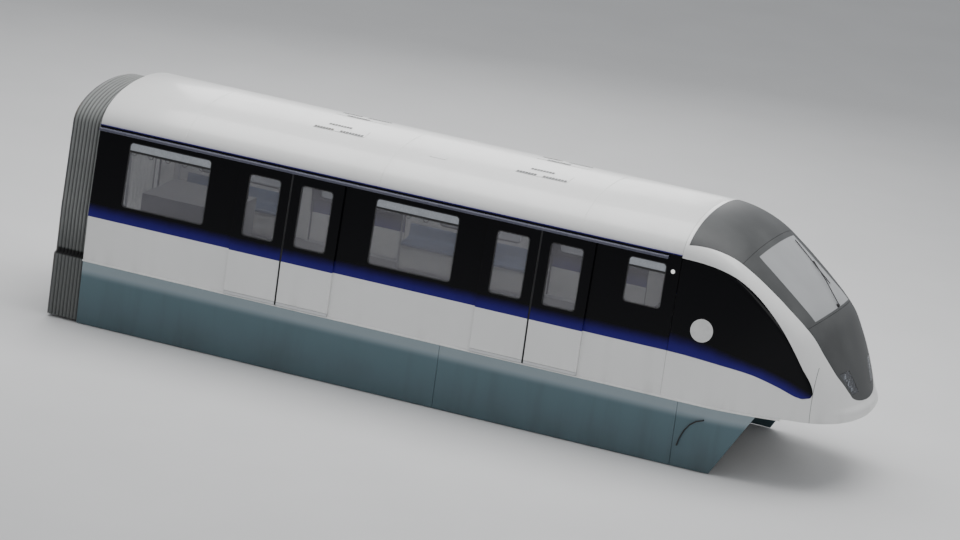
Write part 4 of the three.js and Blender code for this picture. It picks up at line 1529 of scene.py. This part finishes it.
wheels = {
    "loadRadius": 0.5,
    "rimRadius": 0.3,
    "grooves": 0.012,
    "sideRadius": 0.25,
    "sideHalf": 0.085,
    "sideBolts": 0.118,
    "rimNuts": 0.165,
    "nutsOut": 0.08,
    "treadSteps": 144,
    # cuts across the shoulders: range along the axle, radius they start from, and depth
    "shoulder": (0.078, 0.118),
    "shoulderRadius": 0.46,
    "shoulderCut": 0.009,
}


def placeWheel(name, mesh, body, place, node=None, flip=1):
    made = addObject(name, mesh)
    made.location = place
    made.scale = (1, flip, 1)
    bpy.context.view_layer.update()
    dress(made, body, replaces=[node] if node else ())


def loadTyreMesh():
    # ribs and grooves round the tread, cut across at the shoulders
    radius, rim, deep = wheels["loadRadius"], wheels["rimRadius"] + 0.0005, wheels["grooves"]
    tread = [(-0.078, 0), (-0.074, deep), (-0.062, deep), (-0.058, 0), (-0.030, 0), (-0.026, deep),
             (-0.014, deep), (-0.010, 0), (0.010, 0), (0.014, deep), (0.026, deep), (0.030, 0), (0.058, 0),
             (0.062, deep), (0.074, deep), (0.078, 0)]
    wall = [(rim, 0.110), (rim + 0.03, 0.122), (0.38, 0.138), (0.42, 0.139), (0.452, 0.136), (0.472, 0.124),
             (0.486, 0.108), (0.493, 0.092)]
    profile = [(r, -along) for r, along in wall]
    profile += [(radius - down, along) for along, down in tread]
    profile += [(r, along) for r, along in wall[::-1]]
    count = wheels["treadSteps"]
    near, far = wheels["shoulder"]
    rows = []
    for step in range(count + 1):
        turn = math.tau * step / count
        cutAcross = step % 4 == 0
        row = []
        for r, along in profile:
            if cutAcross and near <= abs(along) <= far and r > wheels["shoulderRadius"]:
                r -= wheels["shoulderCut"]
            row.append(Vector((r * math.cos(turn), along, r * math.sin(turn))))
        rows.append(row)
    return Form().sheet(rows, closed=True).mesh("loadTyre", "tyre", 30)


def sideWheelMesh():
    radius, half = wheels["sideRadius"], wheels["sideHalf"]
    axis, origin = (0, 0, 1), (0, 0, 0)
    rubber = [(0.168, -0.080), (0.180, -half), (0.226, -half), (0.240, -0.078), (0.249, -0.062),
              (radius, -0.045), (radius, -0.016), (0.244, -0.012), (0.244, -0.006), (radius, -0.002),
              (radius, 0.002), (0.244, 0.006), (0.244, 0.012), (radius, 0.016), (radius, 0.045),
              (0.249, 0.062), (0.240, 0.078), (0.226, half), (0.180, half), (0.168, 0.080)]
    form = Form().turned(rubber, origin, axis, 96)
    hub = [(0.0356, -0.072), (0.085, -0.072), (0.095, -0.058), (0.140, -0.046), (0.158, -0.050),
           (0.170, -0.072), (0.170, 0.072), (0.158, 0.050), (0.140, 0.046), (0.095, 0.058), (0.085, 0.072),
           (0.0356, 0.072)]
    form.turned(hub, origin, axis, 64, 1)
    bolt = [(0.0, -0.062), (0.010, -0.062), (0.010, 0.062), (0.0, 0.062)]
    for x, y in circle(0, 0, wheels["sideBolts"], 8):
        form.turned(bolt, (x, y, 0), axis, 6, 2)
    return form.mesh("sideWheel", ["tyre", "steel", "metal"], 35)


def rimMesh():
    # nuts and hub cap on the outer face of a load wheel's rim
    axis = (0, 1, 0)
    nut = [(0.0, 0.0), (0.016, 0.0), (0.016, 0.018), (0.009, 0.020), (0.009, 0.032), (0.0, 0.032)]
    cap = [(0.062, 0.0), (0.110, 0.0), (0.110, 0.012), (0.098, 0.022), (0.062, 0.022)]
    form = Form()
    for x, z in circle(0, 0, wheels["rimNuts"], 10):
        form.turned(nut, (x, 0, z), axis, 6)
    form.turned(cap, (0, 0, 0), axis, 48, 1)
    return form.mesh("rimNuts", ["metal", "steel"], 35)


def middleOf(node):
    low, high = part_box(node)
    return (low + high) / 2


def placeWheels():
    tyre, wheel, nuts = loadTyreMesh(), sideWheelMesh(), rimMesh()
    for end in ("front", "rear"):
        for name, sign in sides.items():
            node = f"load_tyre_{end}_{name}"
            middle, out = middleOf(node), Vector((0, sign * wheels["nutsOut"], 0))
            placeWheel(f"loadTyre.{end}.{name}", tyre, f"wheelset_{end}", middle, node)
            placeWheel(f"rimNuts.{end}.{name}", nuts, f"wheelset_{end}", middle + out, flip=sign)
            stems = [f"guide_wheel_{end}_{name}_{place}" for place in ("ahead", "behind")]
            for node in [*stems, f"stabiliser_wheel_{end}_{name}"]:
                title = node.replace("_wheel_", "Wheel.").replace("_", ".")
                placeWheel(title, wheel, node + "_body", middleOf(node), node)


placeWheels()
print("wheels made")


# Running gear, floor and console: the model's own solids, with rounded edges and their finishes

kept = {
    "underframe": ("steel", 0.004),
    "floor": ("floor", 0.004),
    "front_console": ("mask", 0.012),
    "bogie_frame_front": ("steel", 0.008),
    "bogie_frame_rear": ("steel", 0.008),
    "axle_front": ("steel", 0.003),
    "axle_rear": ("steel", 0.003),
}
for node, (key, width) in kept.items():
    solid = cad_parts[node]
    solid.data.materials.clear()
    solid.data.materials.append(finish[key])
    roundEdges(solid, width, harden=False)

pipes = {
    # distance from the middle, and radius
    "lines": [(0.97, 0.016), (1.03, 0.012), (1.09, 0.020)],
    "height": 0.135,
    "ends": (-5.05, 4.9),
    "clamps": (-4.8, 4.6, 8),
    "clampOut": (0.945, 1.12),
    "clampHigh": (0.112, 0.1595),
    "clampHalf": 0.02,
}
bogieBolts = {
    "head": [(0.0, 0.0), (0.016, 0.0), (0.016, 0.012), (0.0, 0.012)],
    # distance of the face from the middle, then x from the bogie's middle and z of the bolts on it
    "faces": [
        (0.5195, [(-0.075, 0.56), (0.075, 0.56), (-0.075, 0.43), (0.075, 0.43)]),
        (0.7195, [(-0.68, 0.0), (-0.52, 0.0), (0.52, 0.0), (0.68, 0.0)]),
        (0.6995, [(x, z) for x in (-0.10, 0.10) for z in (-0.18, -0.34, -0.50)]),
    ],
}


def makePipes(name, sign):
    form = Form()
    for y, radius in pipes["lines"]:
        form.rod([(x, sign * y, pipes["height"]) for x in pipes["ends"]], radius)
    form.piece(f"brakePipes.{name}", "steel", smooth=60)
    form = Form()
    wide = pipes["clampHalf"]
    for x in span(*pipes["clamps"]):
        form.box((x - wide, x + wide), [sign * y for y in pipes["clampOut"]], pipes["clampHigh"])
    form.piece(f"pipeClamps.{name}", "rubber", edge=0.003)


def makeBogieBolts(end):
    # bolt heads on both sides of the frame: on its axle boxes, side beams and legs
    middle = middleOf(f"bogie_frame_{end}")
    form = Form()
    for sign in sides.values():
        for out, places in bogieBolts["faces"]:
            for x, z in places:
                form.turned(bogieBolts["head"], (middle.x + x, sign * out, z), (0, sign, 0), 6)
    form.piece(f"bogieBolts.{end}", "metal", f"bogie_{end}", smooth=30)


for name, sign in sides.items():
    makePipes(name, sign)
for end in ("front", "rear"):
    makeBogieBolts(end)
print("running gear dressed")


# Stage, lights and camera

view = {
    "place": Vector((24.782, -69.822, 20.807)),
    "roll": 7.824,
    "lens": 190.0,
    "sensor": 36.0,
    "far": 500.0,
    "floor": -0.86,
    "floorHalf": 60.0,
    "sky": (0.78, 0.80, 0.83),
    "skyStrength": 0.60,
}
# place, target, size and power
lamps = {
    "skyPanel": ((0, 2, 16), (0, 0, 0), (24, 12), 4200),
    "sidePanelLight": ((14, -24, 8), (0, 0, 0.8), (14, 8), 620),
    "farPanel": ((-6, 18, 9), (0, 0, 1), (14, 8), 900),
}


def makeStage():
    mesh = bpy.data.meshes.new("studioFloor")
    half = view["floorHalf"]
    corners = [(x, y, 0) for x, y in rectangle(-half, half, -half, half)]
    mesh.from_pydata(corners, [], [[0, 1, 2, 3]])
    f = Finish("studioFloor")
    tone = f.mixed(f.noise(0.6, 3), paints["stage"], paints["stagePale"])
    mesh.materials.append(f.cover(tone, roughness=0.7))
    plane = addObject("studioFloor", mesh)
    plane.location = (0, 0, view["floor"])


def makeLamp(name, place, target, size, power):
    data = bpy.data.lights.new(name, "AREA")
    data.shape = "RECTANGLE"
    data.size, data.size_y = size
    data.energy = power
    lamp = addObject(name, data)
    lamp.location = place
    lamp.rotation_euler = (Vector(target) - Vector(place)).to_track_quat("-Z", "Y").to_euler()


def makeWorld():
    f = Finish("paleSky", bpy.data.worlds)
    back = f.node("Background", {}, {"Color": (*view["sky"], 1), "Strength": view["skyStrength"]})
    scene.world = f.show(back, "OutputWorld")


def makeCamera():
    low, high = cadBox
    toCar = (Vector(low) + Vector(high)) / 2 - view["place"]
    turn = toCar.to_track_quat("-Z", "Y") @ Quaternion((0, 0, 1), math.radians(view["roll"]))
    data = bpy.data.cameras.new("camera")
    data.lens = view["lens"]
    data.sensor_width = view["sensor"]
    data.clip_end = view["far"]
    camera = addObject("camera", data)
    camera.location = view["place"]
    camera.rotation_euler = turn.to_euler()
    scene.camera = camera


makeStage()
makeWorld()
for name, lamp in lamps.items():
    makeLamp(name, *lamp)
makeCamera()
scene.view_settings.view_transform = "AgX"
print("stage set")
